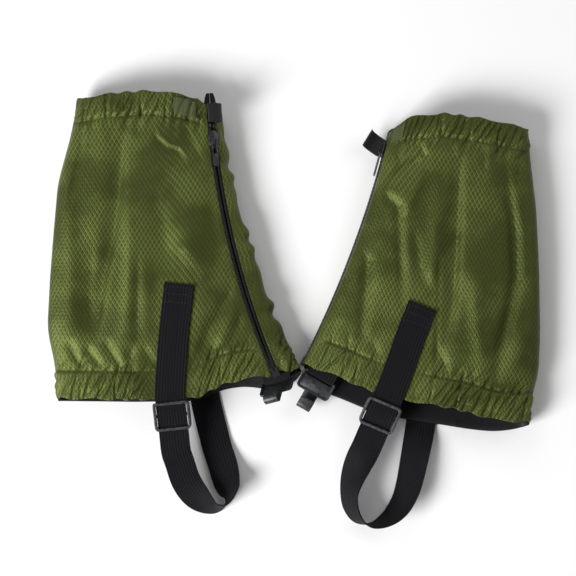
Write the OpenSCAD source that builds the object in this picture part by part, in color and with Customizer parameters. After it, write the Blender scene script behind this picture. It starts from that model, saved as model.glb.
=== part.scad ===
// A pair of low trail gaiters, lying side by side on the floor as they are laid out after use.
// +X points to the wearer's right-hand gaiter, +Y towards the knee end, +Z up from the floor.
// Each gaiter is drawn with its front zip on the +X side; the second one is mirrored.

/* [Gaiter tube] */
// Height of the tube as it lies on its side
lie_h = 27.5; // [24:0.5:32]
// Wall of the outer fabric, with its hem folds
shell_t = 0.8; // [0.6:0.1:1]
// Wall of the black inner lining
lining_t = 0.6; // [0.4:0.1:0.8]
// Thickness of the elastic in both hems
elastic_t = 0.8; // [0.6:0.1:1]
// Height of the elastic in the knee-end hem
top_hem = 18; // [12:1:24]
// Height of the elastic in the boot-end hem
low_hem = 23; // [16:1:30]

/* [Front zip] */
// Half of the gap between the two fabric edges
zip_gap = 3.4; // [3.2:0.1:4]
// Width of one side of the zip tape
tape_w = 5.2; // [4:0.2:5.6]
// Thickness of the tape
tape_t = 0.35; // [0.3:0.05:0.4]
// Width of one row of coil
coil_w = 2.1; // [1.8:0.1:2.2]
// Length of the slider
slider_l = 13; // [11:0.5:15]
// Length of the pull tab
pull_l = 22; // [16:1:28]

/* [Straps] */
// Width of the instep webbing
web_w = 25; // [20:1:26]
// Thickness of the instep webbing
web_t = 1.4; // [1:0.1:1.6]
// Outer height of the strap adjuster, along the webbing
buckle_h = 25; // [22:1:28]
// Width of the adjuster's rails and bars
buckle_bar = 2.8; // [2.2:0.2:3.2]

/* [Lace hook] */
// Outer length of the hook's ring, along the lace hook
ring_l = 18; // [15:1:20]
// Width of the hook's tongue
tongue_w = 12.5; // [10:0.5:14]
// Clear height inside the curled end
throat = 5.6; // [5:0.2:6]

/* [Closure tab] */
// Width of the hook-tape tab
tab_w = 15.5; // [12:0.5:18]
// Thickness of the tab
tab_t = 1.4; // [1:0.1:1.6]

/* [Hidden] */
SIDES = ["left", "right"];
PARTS = ["outer_panel", "inner_panel", "lining", "top_elastic", "boot_elastic",
    "zip_tape_outer", "zip_tape_inner", "zip_coil_outer", "zip_coil_inner",
    "zip_top_stops", "zip_box", "zip_slider", "zip_pull", "closure_tab", "loop_patch",
    "instep_strap", "strap_adjuster", "lace_hook", "hook_webbing"];

run = 0.3;              // clearance round anything that moves
fine = 0.02;            // gap between pieces that are sewn together
fabric = [0.28, 0.31, 0.17];
black = [0.11, 0.11, 0.12];
grey = [0.25, 0.26, 0.27];

// Outline of each gaiter, as it lies: [share of the height, x] down the calf edge.
CALF = [
    [[0, -199], [0.1, -200], [0.23, -207], [0.37, -205], [0.53, -202], [0.72, -198], [0.88, -187], [1, -181]],
    [[0, -199], [0.08, -200], [0.16, -206], [0.3, -207.5], [0.5, -206.5], [0.73, -204], [0.9, -199], [1, -197]]];
// Lower edge of the outer hem and upper edge of the knee hem: [share of the way round to the zip, y].
LOW_EDGE = [
    [[0, -74], [0.35, -75], [0.65, -74], [0.74, -63], [0.87, -57], [1, -54], [1.12, -49]],
    [[0, -94], [0.16, -92], [0.32, -83], [0.56, -75], [0.71, -67], [0.84, -56], [1, -45], [1.12, -45]]];
TOP_EDGE = [
    [[0, 176], [0.25, 180.5], [0.55, 183], [0.8, 179.5], [1, 172], [1.12, 166]],
    [[0, 151], [0.3, 159], [0.6, 164], [0.85, 161], [1, 150], [1.12, 150]]];
// How far the boot-end lip of the far wall stands beyond the near one.
LIP = [
    [[0, 0], [0.62, 0], [0.85, 4], [1, 12], [1.12, 12]],
    [[0, 3], [0.1, 6], [0.3, 13], [1, 16], [1.12, 16]]];

// The zip follows a long arc in plan: centre, radius, and its angles at the boot end and the knee end.
ZIP_C = [[608, 216], [797, 367]];
ZIP_R = [679, 904];
ZIP_LOW = [203.4, 207.1];
ZIP_TOP = [183.7, 194];
ZIP_Z = [24, 14];       // height of the zip above the floor
ZIP_TILT = [12, 80];    // how far the zip faces round towards the shin
FLAP_LOW = [21, 1.2];   // width of the fabric that shows beyond the zip, at the boot end
FLAP_TOP = [9, 1.2];    // the same at the knee end
line_r = 6;             // the wall is straight this far to each side of the zip

lift = 2.2;             // the boot-end hem stands this far off the floor, over the sewn strap end
lift_end = 0.12;        // share of the height over which it does

function mix(a, b, k) = a + (b - a) * k;
function clamp(v, a, b) = max(a, min(b, v));
function unit(v) = v / norm(v);
function power(v, e) = sign(v) * pow(abs(v), e);
function zip_angle(s, t) = mix(ZIP_LOW[s], ZIP_TOP[s], t);
function zip_x(s, t) = ZIP_C[s][0] + ZIP_R[s] * cos(zip_angle(s, t));
function flap(s, t) = mix(FLAP_LOW[s], FLAP_TOP[s], t);
function calf_x(s, t) = lookup(t, CALF[s]);

// Height along the leg of a point: q is its share of the way from calf edge to zip.
function along(s, q, t, lip) = let (k = clamp(q, 0, 1.12))
    mix(lookup(k, LOW_EDGE[s]) - lip * lookup(k, LIP[s]), lookup(k, TOP_EDGE[s]), t);

// A point of the wall, d inside its outer face, where the flattened tube's cross-section is a
// superellipse with a flat sole; a is the angle round it, 0 at the zip edge and 180 at the calf.
function wall_e(s, t, d, a) = let (
    low = a < 0 || a > 180,
    xl = calf_x(s, t), xr = zip_x(s, t) + flap(s, t),
    ha = (xr - xl) / 2 - d, hb = lie_h / 2 - d,
    ex = power(cos(a), 2 / 3), ez = power(sin(a), 2 / 3),
    x = (xl + xr) / 2 + ha * ex,
    z = lie_h / 2 + hb * ez * (low ? 1.06 : 1),
    sole = clamp(-1.6 * sin(a), 0, 1),
    rise = lift * clamp((lift_end + 0.08 - t) / 0.08, 0, 1) * sole,
    q = (x - xl) / (zip_x(s, t) - xl))
    [x, along(s, q, t, sole), max(z, d) + rise];

// A point of the straight stretch beside the zip, w across it from the zip's centre line.
function wall_l(s, t, d, w) = let (
    g = zip_angle(s, t), tilt = ZIP_TILT[s],
    r = ZIP_R[s] - w * cos(tilt) + d * sin(tilt))
    [ZIP_C[s][0] + r * cos(g), ZIP_C[s][1] + r * sin(g), ZIP_Z[s] - w * sin(tilt) - d * cos(tilt)];

// A column is [angle] on the superellipse or [w, 1] beside the zip.
function wall(s, t, d, c) = len(c) == 1 ? wall_e(s, t, d, c[0]) : wall_l(s, t, d, c[0]);

// The angle round the section at which the wall is w short of, or beyond, the zip.
function edge_angle(s, t, w) = let (
    xl = calf_x(s, t), xr = zip_x(s, t) + flap(s, t), ha = (xr - xl) / 2,
    k = clamp((zip_x(s, t) + w - (xl + xr) / 2) / ha, 0, 1))
    acos(pow(k, 1.5));

// Columns from the calf seam over the top to the zip's near edge, and from its far edge round the sole.
seam = 187;
function near_cols(s, t, w0, w1, n) = concat(
    [for (i = [0:n]) [mix(seam, edge_angle(s, t, -w0 * cos(ZIP_TILT[s]) - 4), i / n)]],
    [[-w0, 1], [-w1, 1]]);
function far_cols(s, t, w0, w1, n) = concat(
    [[w1, 1], [w0, 1]],
    [for (i = [0:n]) [mix(ZIP_TILT[s] > 45 ? -22 : min(30, edge_angle(s, t, w0 + 2)), seam - 359.6, i / n)]]);

// A thin closed skin: rows of columns, between depth d0 (outside) and d1 (inside) of the wall.
module skin(s, rows, d0, d1) {
    m = len(rows);
    n = len(rows[0][1]);
    outer = [for (r = rows, c = r[1]) wall(s, r[0], d0, c)];
    inner = [for (r = rows, c = r[1]) wall(s, r[0], d1, c)];
    k = m * n;
    grid = [for (i = [0:m - 2], j = [0:n - 2]) [i * n + j, i * n + j + 1, (i + 1) * n + j + 1, (i + 1) * n + j]];
    rim = concat(
        [for (j = [0:n - 2]) [j + 1, j, k + j, k + j + 1]],
        [for (j = [0:n - 2]) [(m - 1) * n + j, (m - 1) * n + j + 1, k + (m - 1) * n + j + 1, k + (m - 1) * n + j]],
        [for (i = [0:m - 2]) [i * n, (i + 1) * n, k + (i + 1) * n, k + i * n]],
        [for (i = [0:m - 2]) [(i + 1) * n + n - 1, i * n + n - 1, k + i * n + n - 1, k + (i + 1) * n + n - 1]]);
    quads = concat(grid, [for (f = grid) [f[3] + k, f[2] + k, f[1] + k, f[0] + k]], rim);
    tris = [for (f = quads, h = [0, 1]) h == 0 ? [f[0], f[1], f[2]] : [f[0], f[2], f[3]]];
    polyhedron(concat(outer, inner), tris);
}

TUBE_ROWS = [0, 0.05, 0.1, 0.16, 0.22, 0.3, 0.4, 0.5, 0.6, 0.7, 0.8, 0.88, 0.94, 1];

module outer_panel(s) color(fabric)
    skin(s, [for (t = TUBE_ROWS) [t, near_cols(s, t, line_r, zip_gap, 20)]], 0, shell_t);

module inner_panel(s) color(fabric)
    skin(s, [for (t = TUBE_ROWS) [t, far_cols(s, t, line_r, zip_gap, 22)]], 0, shell_t);

ease = 0.3;             // room between the layers of a hem
lining_d = shell_t + ease + elastic_t + 1.6 * ease;
LINING_ROWS = [0.004, 0.05, 0.1, 0.16, 0.22, 0.34, 0.5, 0.66, 0.82, 0.93, 0.98];
// Columns of the inner layers: from one zip tape round the whole tube to the other.
turn = 30;
function round_cols(s, t) = let (a0 = edge_angle(s, t, -15), a1 = s == 0 ? 4 : -34)
    [for (i = [0:turn]) [mix(a1 + 360, a0, i / turn)]];

// The black lining: one sheet round the whole tube.
module lining(s) color(black)
    skin(s, [for (t = LINING_ROWS) [t, round_cols(s, t)]], lining_d, lining_d + lining_t);

// Elastic inside a hem, from t0 to t1 of the height.
module hem_elastic(s, t0, t1) color(black)
    skin(s, [for (t = [t0, mix(t0, t1, 0.33), mix(t0, t1, 0.67), t1]) [t, round_cols(s, t)]],
        shell_t + ease, shell_t + ease + elastic_t);

// Places its children on the zip arc at height share t: +X across the zip towards the shin, +Y up it.
module on_zip(s, angle) {
    translate([ZIP_C[s][0], ZIP_C[s][1], 0]) rotate(angle - 180) translate([-ZIP_R[s], 0, ZIP_Z[s]])
        rotate([0, ZIP_TILT[s], 0]) children();
}

// A strip that follows the zip from angle a0 to a1, from w0 to w1 across and z0 to z1 high.
module zip_strip(s, a0, a1, w0, w1, z0, z1) {
    translate([ZIP_C[s][0], ZIP_C[s][1], 0]) rotate(min(a0, a1))
        rotate_extrude(angle = abs(a0 - a1), $fn = 360) translate([ZIP_R[s], ZIP_Z[s]])
            rotate(ZIP_TILT[s]) translate([-w1, z0]) square([w1 - w0, z1 - z0]);
}

tube_h = 250;
module top_elastic(s) hem_elastic(s, 1 - (top_hem - 1) / tube_h, 1 - 1 / tube_h);
module boot_elastic(s) hem_elastic(s, 1 / tube_h, low_hem / tube_h);

function zip_turn(s, l) = l / ZIP_R[s] * 180 / PI;
tape_in = 0.8;          // inner edge of each tape from the zip's centre line
tape_top = -shell_t - 0.2;
coil_top = 0.9;
TAPE_OVER = [9, 2];     // tape left standing above the knee hem
SLIDER_A = [186.15, 194.95];
coil_end = 9;           // the coil runs this far past the slider's middle

module zip_tape(s, side) color(black)
    zip_strip(s, ZIP_LOW[s] + zip_turn(s, 2), ZIP_TOP[s] - zip_turn(s, TAPE_OVER[s]),
        side * (tape_in + tape_w * (1 - side) / 2), side * tape_in + tape_w * (1 + side) / 2,
        tape_top - tape_t, tape_top);

module zip_coil(s, side) color(grey)
    zip_strip(s, ZIP_LOW[s] - zip_turn(s, 6), SLIDER_A[s] - zip_turn(s, coil_end),
        side * tape_in - coil_w * (1 - side) / 2, side * tape_in + coil_w * (1 + side) / 2,
        tape_top + fine, coil_top);

module zip_top_stops(s) color(grey)
    on_zip(s, SLIDER_A[s] - zip_turn(s, coil_end + 2)) for (side = [-1, 1])
        translate([side * (tape_in + coil_w / 2), 0, tape_top + fine + 0.8]) cube([coil_w, 3, 1.6], center = true);

module zip_box(s) color(grey)
    on_zip(s, ZIP_LOW[s] - zip_turn(s, 1.5)) translate([0, 0, tape_top + fine + 1.1])
        difference() {
            cube([6.4, 8, 2.2], center = true);
            translate([0, 2.5, 0.7]) cube([1.2, 4, 1.2], center = true);
        }

plate_t = 1;
bridge_z = coil_top + run + plate_t;
// Slider: two plates joined by a neck between the coils, with a bridge for the pull.
module zip_slider(s) color(grey)
    on_zip(s, SLIDER_A[s]) {
        translate([0, 0, coil_top + run]) linear_extrude(plate_t) slider_plate(8.6);
        translate([0, 0, tape_top - tape_t - run - plate_t]) linear_extrude(plate_t) slider_plate(8);
        translate([-0.5, slider_l / 2 - 3.5, tape_top - tape_t - run - 0.5])
            cube([1, 3, coil_top - tape_top + tape_t + 2 * run + 1]);
        for (y = [-4.4, 2.4]) translate([-0.8, y, bridge_z - 0.1]) cube([1.6, 2, 1.8]);
        translate([-0.8, -4.4, bridge_z + 1.6]) cube([1.6, 8.8, 1]);
    }
module slider_plate(w) {
    translate([-w / 2, -slider_l / 2 + 2]) square([w, slider_l - 5]);
    translate([0, slider_l / 2 - 3]) polygon([[-w / 2, 0], [w / 2, 0], [w / 2 - 2.4, 3], [2.4 - w / 2, 3]]);
    translate([0, -slider_l / 2]) polygon([[1.2 - w / 2, 0], [w / 2 - 1.2, 0], [w / 2, 2], [-w / 2, 2]]);
}

pull_pin = bridge_z + 0.8;
// Pull: a cross pin under the bridge, two short arms and a flat tab.
module zip_pull(s) color(grey)
    on_zip(s, SLIDER_A[s]) translate([0, -1, pull_pin]) {
        translate([-2.4, 0, 0]) rotate([0, 90, 0]) cylinder(h = 4.8, d = 1, $fn = 24);
        for (x = [-2.4, 1.3]) translate([x, -6.5, -0.5]) cube([1.1, 6.5, 1]);
        translate([0, -6, -0.5]) linear_extrude(1) {
            translate([-2.4, -pull_l + 8]) square([4.8, pull_l - 8]);
            translate([0, -pull_l + 8]) circle(d = 4.8, $fn = 32);
        }
    }

TAB_A = [184.4, 194.87];
TAB_SKEW = [0, -17];
tab_base = [7.4, 1.1];  // where the tab leaves the wall, across the zip and above it
TAB_BEND = 17;          // radius of its curl
TAB_ARC = 78;
// Closure tab of hook tape: stands up from the shin side of the zip and curls over it.
module closure_tab(s) color(black)
    on_zip(s, TAB_A[s]) translate([tab_base[0], 0, tab_base[1]]) rotate([TAB_SKEW[s], 0, 0])
        rotate([90, 0, 0]) linear_extrude(tab_w, center = true) {
            intersection() {
                translate([-TAB_BEND, 0]) difference() {
                    circle(r = TAB_BEND + tab_t, $fn = 96);
                    circle(r = TAB_BEND, $fn = 96);
                }
                translate([-TAB_BEND, 0]) polygon([[0, 0], [40, 0], [40, 40 * tan(TAB_ARC / 2)],
                    [40 * cos(TAB_ARC), 40 * sin(TAB_ARC)]]);
            }
        }

// Loop patch on the outer panel's knee hem, where the tab closes, dyed like the cloth.
module loop_patch(s) color(fabric)
    skin(s, [for (t = [0.93, 0.96, 0.99]) let (a = edge_angle(s, t, -9.5 * cos(ZIP_TILT[s]) - 3))
        [t, [for (i = [4:-1:0]) [a + 5 * i]]]], -0.9, -0.1);

// Webbing stations: [x, y, z, roll], roll turning the band about its own run; flat at 0.
slope = 12;
BUCKLE = [[-101.6, -88.6, 25.9], [-72.7, -88.2, 25.9]];
BUCKLE_YAW = [6, 23];
strap_z = lie_h + run + web_t / 2;
function strap_line(s, l) = let (yaw = BUCKLE_YAW[s])
    [BUCKLE[s][0] + l * cos(slope) * sin(yaw), BUCKLE[s][1] - l * cos(slope) * cos(yaw), BUCKLE[s][2] - l * sin(slope), 0];
STRAP = [
    concat([[-95.5, 21.5, strap_z, 0], [-97, 8, strap_z, 0], [-99.5, -14, strap_z, 0], [-101.5, -38, strap_z, 0],
        [-103, -62, strap_z, 0], [-103.4, -71, strap_z - 0.1, 0]],
        [for (l = [-12.5, 0, 16, 31]) strap_line(0, l)],
        [[-95.5, -128, 17.6, 0], [-91, -142, 15.6, 2], [-85, -152.5, 14.4, 12], [-77, -161, 13.8, 34],
        [-67, -166.5, 13.5, 62], [-58.5, -165, 13.3, 84], [-54.6, -158.5, 13, 108], [-54.5, -151, 10.8, 140],
        [-56.8, -142, 7, 162], [-60, -130, 3.6, 174], [-64.6, -116, 1.7, 180], [-68, -103, 1, 180],
        [-71.4, -89.5, 0.95, 180], [-74.4, -76, 0.95, 180], [-79, -54, 0.9, 180]]),
    concat([[-108, 3.5, strap_z, 0], [-103, -9, strap_z, 0], [-98, -22, strap_z, 0], [-91, -42, strap_z, 0],
        [-84.5, -60, strap_z, 0], [-81.2, -68.2, strap_z - 0.1, 0]],
        [for (l = [-12.5, 0, 16, 31]) strap_line(1, l)],
        [[-54, -130, 17.8, -22], [-49, -143, 16.4, -42], [-46.8, -155.5, 15.2, -56], [-48.4, -167, 14.4, -62],
        [-54, -176.5, 13.8, -72], [-63.2, -181, 13.4, -90], [-72.7, -179.5, 13.4, -106], [-81.8, -174.3, 12.2, -120],
        [-88.6, -167, 10.6, -132], [-93.6, -158, 9.4, -139], [-97.4, -147, 8, -147], [-100.6, -133, 6.4, -154],
        [-103.6, -118, 4.6, -162], [-105.8, -107, 2.6, -172], [-107.4, -97, 1, -180], [-109.6, -83, 0.95, -180],
        [-112.6, -64, 0.9, -180]])];

// Smooth curve through the stations, k steps to each stretch.
function smooth(p, k) = let (n = len(p)) concat(
    [for (i = [0:n - 2], j = [0:k - 1]) let (
        a = p[max(i - 1, 0)], b = p[i], c = p[i + 1], d = p[min(i + 2, n - 1)], u = j / k)
        b + u * ((c - a) + u * ((2 * a - 5 * b + 4 * c - d) + u * (3 * b - a - 3 * c + d))) / 2],
    [p[n - 1]]);

// A band of webbing along its stations.
module band(path, w, h) {
    stations = smooth(path, 3);
    n = len(stations);
    c = [for (p = stations) [p[0], p[1], p[2]]];
    run_dir = [for (i = [0:n - 1]) unit(c[min(i + 1, n - 1)] - c[max(i - 1, 0)])];
    across = [for (i = [0:n - 1]) let (d = run_dir[i], f = unit([-d[1], d[0], 0]), u = cross(d, f))
        f * cos(stations[i][3]) + u * sin(stations[i][3])];
    face = [for (i = [0:n - 1]) cross(run_dir[i], across[i])];
    points = [for (i = [0:n - 1], k = [[-1, -1], [1, -1], [1, 1], [-1, 1]])
        c[i] + across[i] * k[0] * w / 2 + face[i] * k[1] * h / 2];
    sides = [for (i = [0:n - 2], k = [0:3]) [4 * i + k, 4 * i + (k + 1) % 4, 4 * (i + 1) + (k + 1) % 4, 4 * (i + 1) + k]];
    tris = [for (f = sides, h = [0, 1]) h == 0 ? [f[0], f[1], f[2]] : [f[0], f[2], f[3]]];
    last = 4 * (n - 1);
    polyhedron(points, concat(tris, [[3, 2, 1], [3, 1, 0], [last, last + 1, last + 2], [last, last + 2, last + 3]]));
}

module instep_strap(s) color(black) band(STRAP[s], web_w, web_t);

module rounded(w, h, r) {
    square([w - 2 * r, h], center = true);
    square([w, h - 2 * r], center = true);
    for (x = [-1, 1], y = [-1, 1]) translate([x * (w / 2 - r), y * (h / 2 - r)]) circle(r, $fn = 32);
}

buckle_w = web_w + 2 * run + 2 * buckle_bar;
over = web_t / 2 + run;   // the bars keep this far from the middle of the webbing
// Three-bar adjuster: outer bars over the webbing, middle bar under it.
module strap_adjuster(s) color(grey)
    translate(BUCKLE[s]) rotate(BUCKLE_YAW[s]) rotate([slope, 0, 0]) {
        difference() {
            translate([0, 0, -buckle_bar]) linear_extrude(2 * buckle_bar) rounded(buckle_w, buckle_h, 4);
            translate([0, 0, -2 * buckle_bar]) linear_extrude(4 * buckle_bar)
                square([web_w + 2 * run, buckle_h - 2 * buckle_bar], center = true);
            translate([0, 0, (over - buckle_bar - 1) / 2])
                cube([web_w + 2 * run, 2 * buckle_h, over + buckle_bar + 1], center = true);
        }
        translate([0, 0, -(buckle_bar + over) / 2])
            cube([buckle_w - buckle_bar, buckle_bar, buckle_bar - over], center = true);
    }

// Lace hook: the bar of its ring is the hinge, held in a webbing loop.
HOOK = [[-12.5, -59.6, 15.2], [-23, -56.5, 14.5]];
HOOK_YAW = [15, 30];
HOOK_PITCH = [-57, 11];
HOOK_ROLL = [-22, 0];
LEAF_PITCH = [-8, 11];  // the webbing leads into the mouth at its own slope
bar_d = 2.4;
web2_t = 1.2;
ring_t = 2;
ring_w = web_w + 2 * run + 2 * 2.2;
module at_hook(s, pitch) translate(HOOK[s]) rotate(HOOK_YAW[s]) rotate([0, HOOK_ROLL[s], 0]) rotate([pitch, 0, 0]) children();

curl_r = throat / 2;
neck_l = 10;            // straight part of the tongue, beyond the ring
lip_l = 6.5;            // straight part of the curled end
pressed_t = 1.2;        // thin plate pressed inside the ring
slot_y = bar_d / 2 + 2 * run + web2_t;  // the webbing turns between the bar and the plate
module lace_hook(s) color(grey) at_hook(s, HOOK_PITCH[s]) {
    rotate([0, 90, 0]) cylinder(h = ring_w - 1, d = bar_d, center = true, $fn = 32);
    difference() {
        translate([0, -ring_l / 2 + bar_d / 2, -ring_t / 2]) linear_extrude(ring_t) rounded(ring_w, ring_l, 3);
        translate([0, 2.6 + bar_d / 2 - ring_l, -ring_t]) linear_extrude(2 * ring_t)
            translate([-ring_w / 2 + 2.2, 0]) square([ring_w - 4.4, ring_l]);
    }
    translate([-ring_w / 2 + 1, 1 + bar_d / 2 - ring_l, -ring_t / 2])
        cube([ring_w - 2, ring_l - bar_d / 2 - 1 - slot_y, pressed_t]);
    translate([-tongue_w / 2, -ring_l + bar_d / 2 + 1, 0]) rotate([90, 0, 90]) linear_extrude(tongue_w) mirror([1, 0]) {
        translate([0, -ring_t / 2]) square([neck_l + 1, 1.4]);
        translate([neck_l + 1, curl_r + 1.4 - ring_t / 2]) intersection() {
            difference() {
                circle(curl_r + 1.4, $fn = 48);
                circle(curl_r, $fn = 48);
            }
            translate([0, -10]) square([10, 20]);
        }
        translate([neck_l + 1 - lip_l, throat + 1.4 - ring_t / 2]) square([lip_l, 1.4]);
    }
}

loop_r = bar_d / 2 + run;
LEAF = [6, 10];         // how far the folded webbing reaches in from the bar
// Webbing that is folded round the ring's bar and sewn inside the hem.
module hook_webbing(s) color(black)
    at_hook(s, LEAF_PITCH[s]) translate([-web_w / 2, 0, 0]) rotate([90, 0, 90]) linear_extrude(web_w) {
        difference() {
            circle(loop_r + web2_t, $fn = 48);
            circle(loop_r, $fn = 48);
            translate([0, -loop_r]) square([20, 2 * loop_r]);
        }
        for (y = [loop_r, -loop_r - web2_t]) translate([0, y]) square([LEAF[s], web2_t]);
    }

CENTRE = [-0.52, 0.51];   // puts the middle of the pair on the origin
module place(s) {
    translate(CENTRE) if (s == 0) children();
    else mirror([1, 0, 0]) children();
}

for (s = [0, 1]) place(s) {
    outer_panel(s);
    inner_panel(s);
    lining(s);
    top_elastic(s);
    boot_elastic(s);
    zip_tape(s, -1);
    zip_tape(s, 1);
    zip_coil(s, -1);
    zip_coil(s, 1);
    zip_top_stops(s);
    zip_box(s);
    zip_slider(s);
    zip_pull(s);
    closure_tab(s);
    loop_patch(s);
    instep_strap(s);
    strap_adjuster(s);
    lace_hook(s);
    hook_webbing(s);
}
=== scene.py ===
"""Looks for a pair of low trail gaiters: ripstop leg tubes with gathered hems, front zips,
closure tabs, instep webbing with adjusters, and lace hooks. Lengths are worked in
millimetres in one gaiter's own frame; the right gaiter is the left one's mirrored design."""

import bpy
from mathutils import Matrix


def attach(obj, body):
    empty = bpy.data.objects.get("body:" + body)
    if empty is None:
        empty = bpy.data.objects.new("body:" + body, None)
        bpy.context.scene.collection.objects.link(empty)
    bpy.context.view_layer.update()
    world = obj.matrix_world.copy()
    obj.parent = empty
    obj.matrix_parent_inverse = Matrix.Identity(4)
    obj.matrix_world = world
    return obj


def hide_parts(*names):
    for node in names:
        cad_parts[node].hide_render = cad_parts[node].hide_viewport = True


bl_info = {
    "name": "Trail gaiters",
    "version": (1, 0, 0),
    "blender": (4, 5, 0),
    "location": "View3D > Sidebar > Gaiters",
    "description": "Builds the looks of a pair of trail gaiters on their packed frame",
    "category": "Object",
}

import math

import bpy
import numpy as np

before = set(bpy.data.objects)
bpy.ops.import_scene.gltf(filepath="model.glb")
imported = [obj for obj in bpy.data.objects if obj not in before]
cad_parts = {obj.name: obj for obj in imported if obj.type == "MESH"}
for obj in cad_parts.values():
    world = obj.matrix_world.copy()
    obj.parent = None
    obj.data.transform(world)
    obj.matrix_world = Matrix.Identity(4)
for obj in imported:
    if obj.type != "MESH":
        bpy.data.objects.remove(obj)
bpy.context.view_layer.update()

SIDES = ("left", "right")
CENTRE = np.array([-0.52, 0.51, 0.0])

# Design of the tubes, as in the part's source: tables run over the share of the height, or
# over the share of the way from the calf edge to the zip.
LIE_H = 27.5
SHELL_T = 0.8
CALF = (
    ((0, -199), (0.1, -200), (0.23, -207), (0.37, -205), (0.53, -202), (0.72, -198), (0.88, -187),
     (1, -181)),
    ((0, -199), (0.08, -200), (0.16, -206), (0.3, -207.5), (0.5, -206.5), (0.73, -204), (0.9, -199),
     (1, -197)),
)
LOW_EDGE = (
    ((0, -74), (0.35, -75), (0.65, -74), (0.74, -63), (0.87, -57), (1, -54), (1.12, -49)),
    ((0, -94), (0.16, -92), (0.32, -83), (0.56, -75), (0.71, -67), (0.84, -56), (1, -45), (1.12, -45)),
)
TOP_EDGE = (
    ((0, 176), (0.25, 180.5), (0.55, 183), (0.8, 179.5), (1, 172), (1.12, 166)),
    ((0, 151), (0.3, 159), (0.6, 164), (0.85, 161), (1, 150), (1.12, 150)),
)
LIP = (
    ((0, 0), (0.62, 0), (0.85, 4), (1, 12), (1.12, 12)),
    ((0, 3), (0.1, 6), (0.3, 13), (1, 16), (1.12, 16)),
)
ZIP_C = np.array([[608.0, 216.0], [797.0, 367.0]])
ZIP_R = (679.0, 904.0)
ZIP_LOW = (203.4, 207.1)
ZIP_TOP = (183.7, 194.0)
ZIP_Z = (24.0, 14.0)
ZIP_TILT = (12.0, 80.0)
FLAP_LOW = (21.0, 1.2)
FLAP_TOP = (9.0, 1.2)
LIFT = 2.2
LIFT_END = 0.12
SEAM = 187.0
ZIP_GAP = 3.4
SLIDER_A = (186.15, 194.95)
TAB_A = (184.4, 194.87)
TAB_SKEW = (0.0, -17.0)

# Straps: [x, y, z, roll] stations along the webbing, and the adjusters on them.
WEB_W = 25.0
WEB_T = 1.4
SLOPE = math.radians(12)
BUCKLE = ((-101.6, -88.6, 25.9), (-72.7, -88.2, 25.9))
BUCKLE_YAW = (6.0, 23.0)
STRAP_Z = LIE_H + 0.3 + WEB_T / 2
STRAP_TOP = (
    ((-95.5, 21.5, STRAP_Z, 0), (-97, 8, STRAP_Z, 0), (-99.5, -14, STRAP_Z, 0), (-101.5, -38, STRAP_Z, 0),
     (-103, -62, STRAP_Z, 0), (-103.4, -71, STRAP_Z - 0.1, 0)),
    ((-108, 3.5, STRAP_Z, 0), (-103, -9, STRAP_Z, 0), (-98, -22, STRAP_Z, 0), (-91, -42, STRAP_Z, 0),
     (-84.5, -60, STRAP_Z, 0), (-81.2, -68.2, STRAP_Z - 0.1, 0)),
)
STRAP_LOOP = (
    ((-95.5, -128, 17.6, 0), (-91, -142, 15.6, 2), (-85, -152.5, 14.4, 12), (-77, -161, 13.8, 34),
     (-67, -166.5, 13.5, 62), (-58.5, -165, 13.3, 84), (-54.6, -158.5, 13, 108), (-54.5, -151, 10.8, 140),
     (-56.8, -142, 7, 162), (-60, -130, 3.6, 174), (-64.6, -116, 1.7, 180), (-68, -103, 1, 180),
     (-71.4, -89.5, 0.95, 180), (-74.4, -76, 0.95, 180), (-79, -54, 0.9, 180)),
    ((-54, -130, 17.8, -22), (-49, -143, 16.4, -42), (-46.8, -155.5, 15.2, -56), (-48.4, -167, 14.4, -62),
     (-54, -176.5, 13.8, -72), (-63.2, -181, 13.4, -90), (-72.7, -179.5, 13.4, -106), (-81.8, -174.3, 12.2, -120),
     (-88.6, -167, 10.6, -132), (-93.6, -158, 9.4, -139), (-97.4, -147, 8, -147), (-100.6, -133, 6.4, -154),
     (-103.6, -118, 4.6, -162), (-105.8, -107, 2.6, -172), (-107.4, -97, 1, -180), (-109.6, -83, 0.95, -180),
     (-112.6, -64, 0.9, -180)),
)
HOOK = ((-12.5, -59.6, 15.2), (-23.0, -56.5, 14.5))
HOOK_YAW = (15.0, 30.0)
HOOK_PITCH = (-57.0, 11.0)
HOOK_ROLL = (-22.0, 0.0)
LEAF_PITCH = (-8.0, 11.0)

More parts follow.
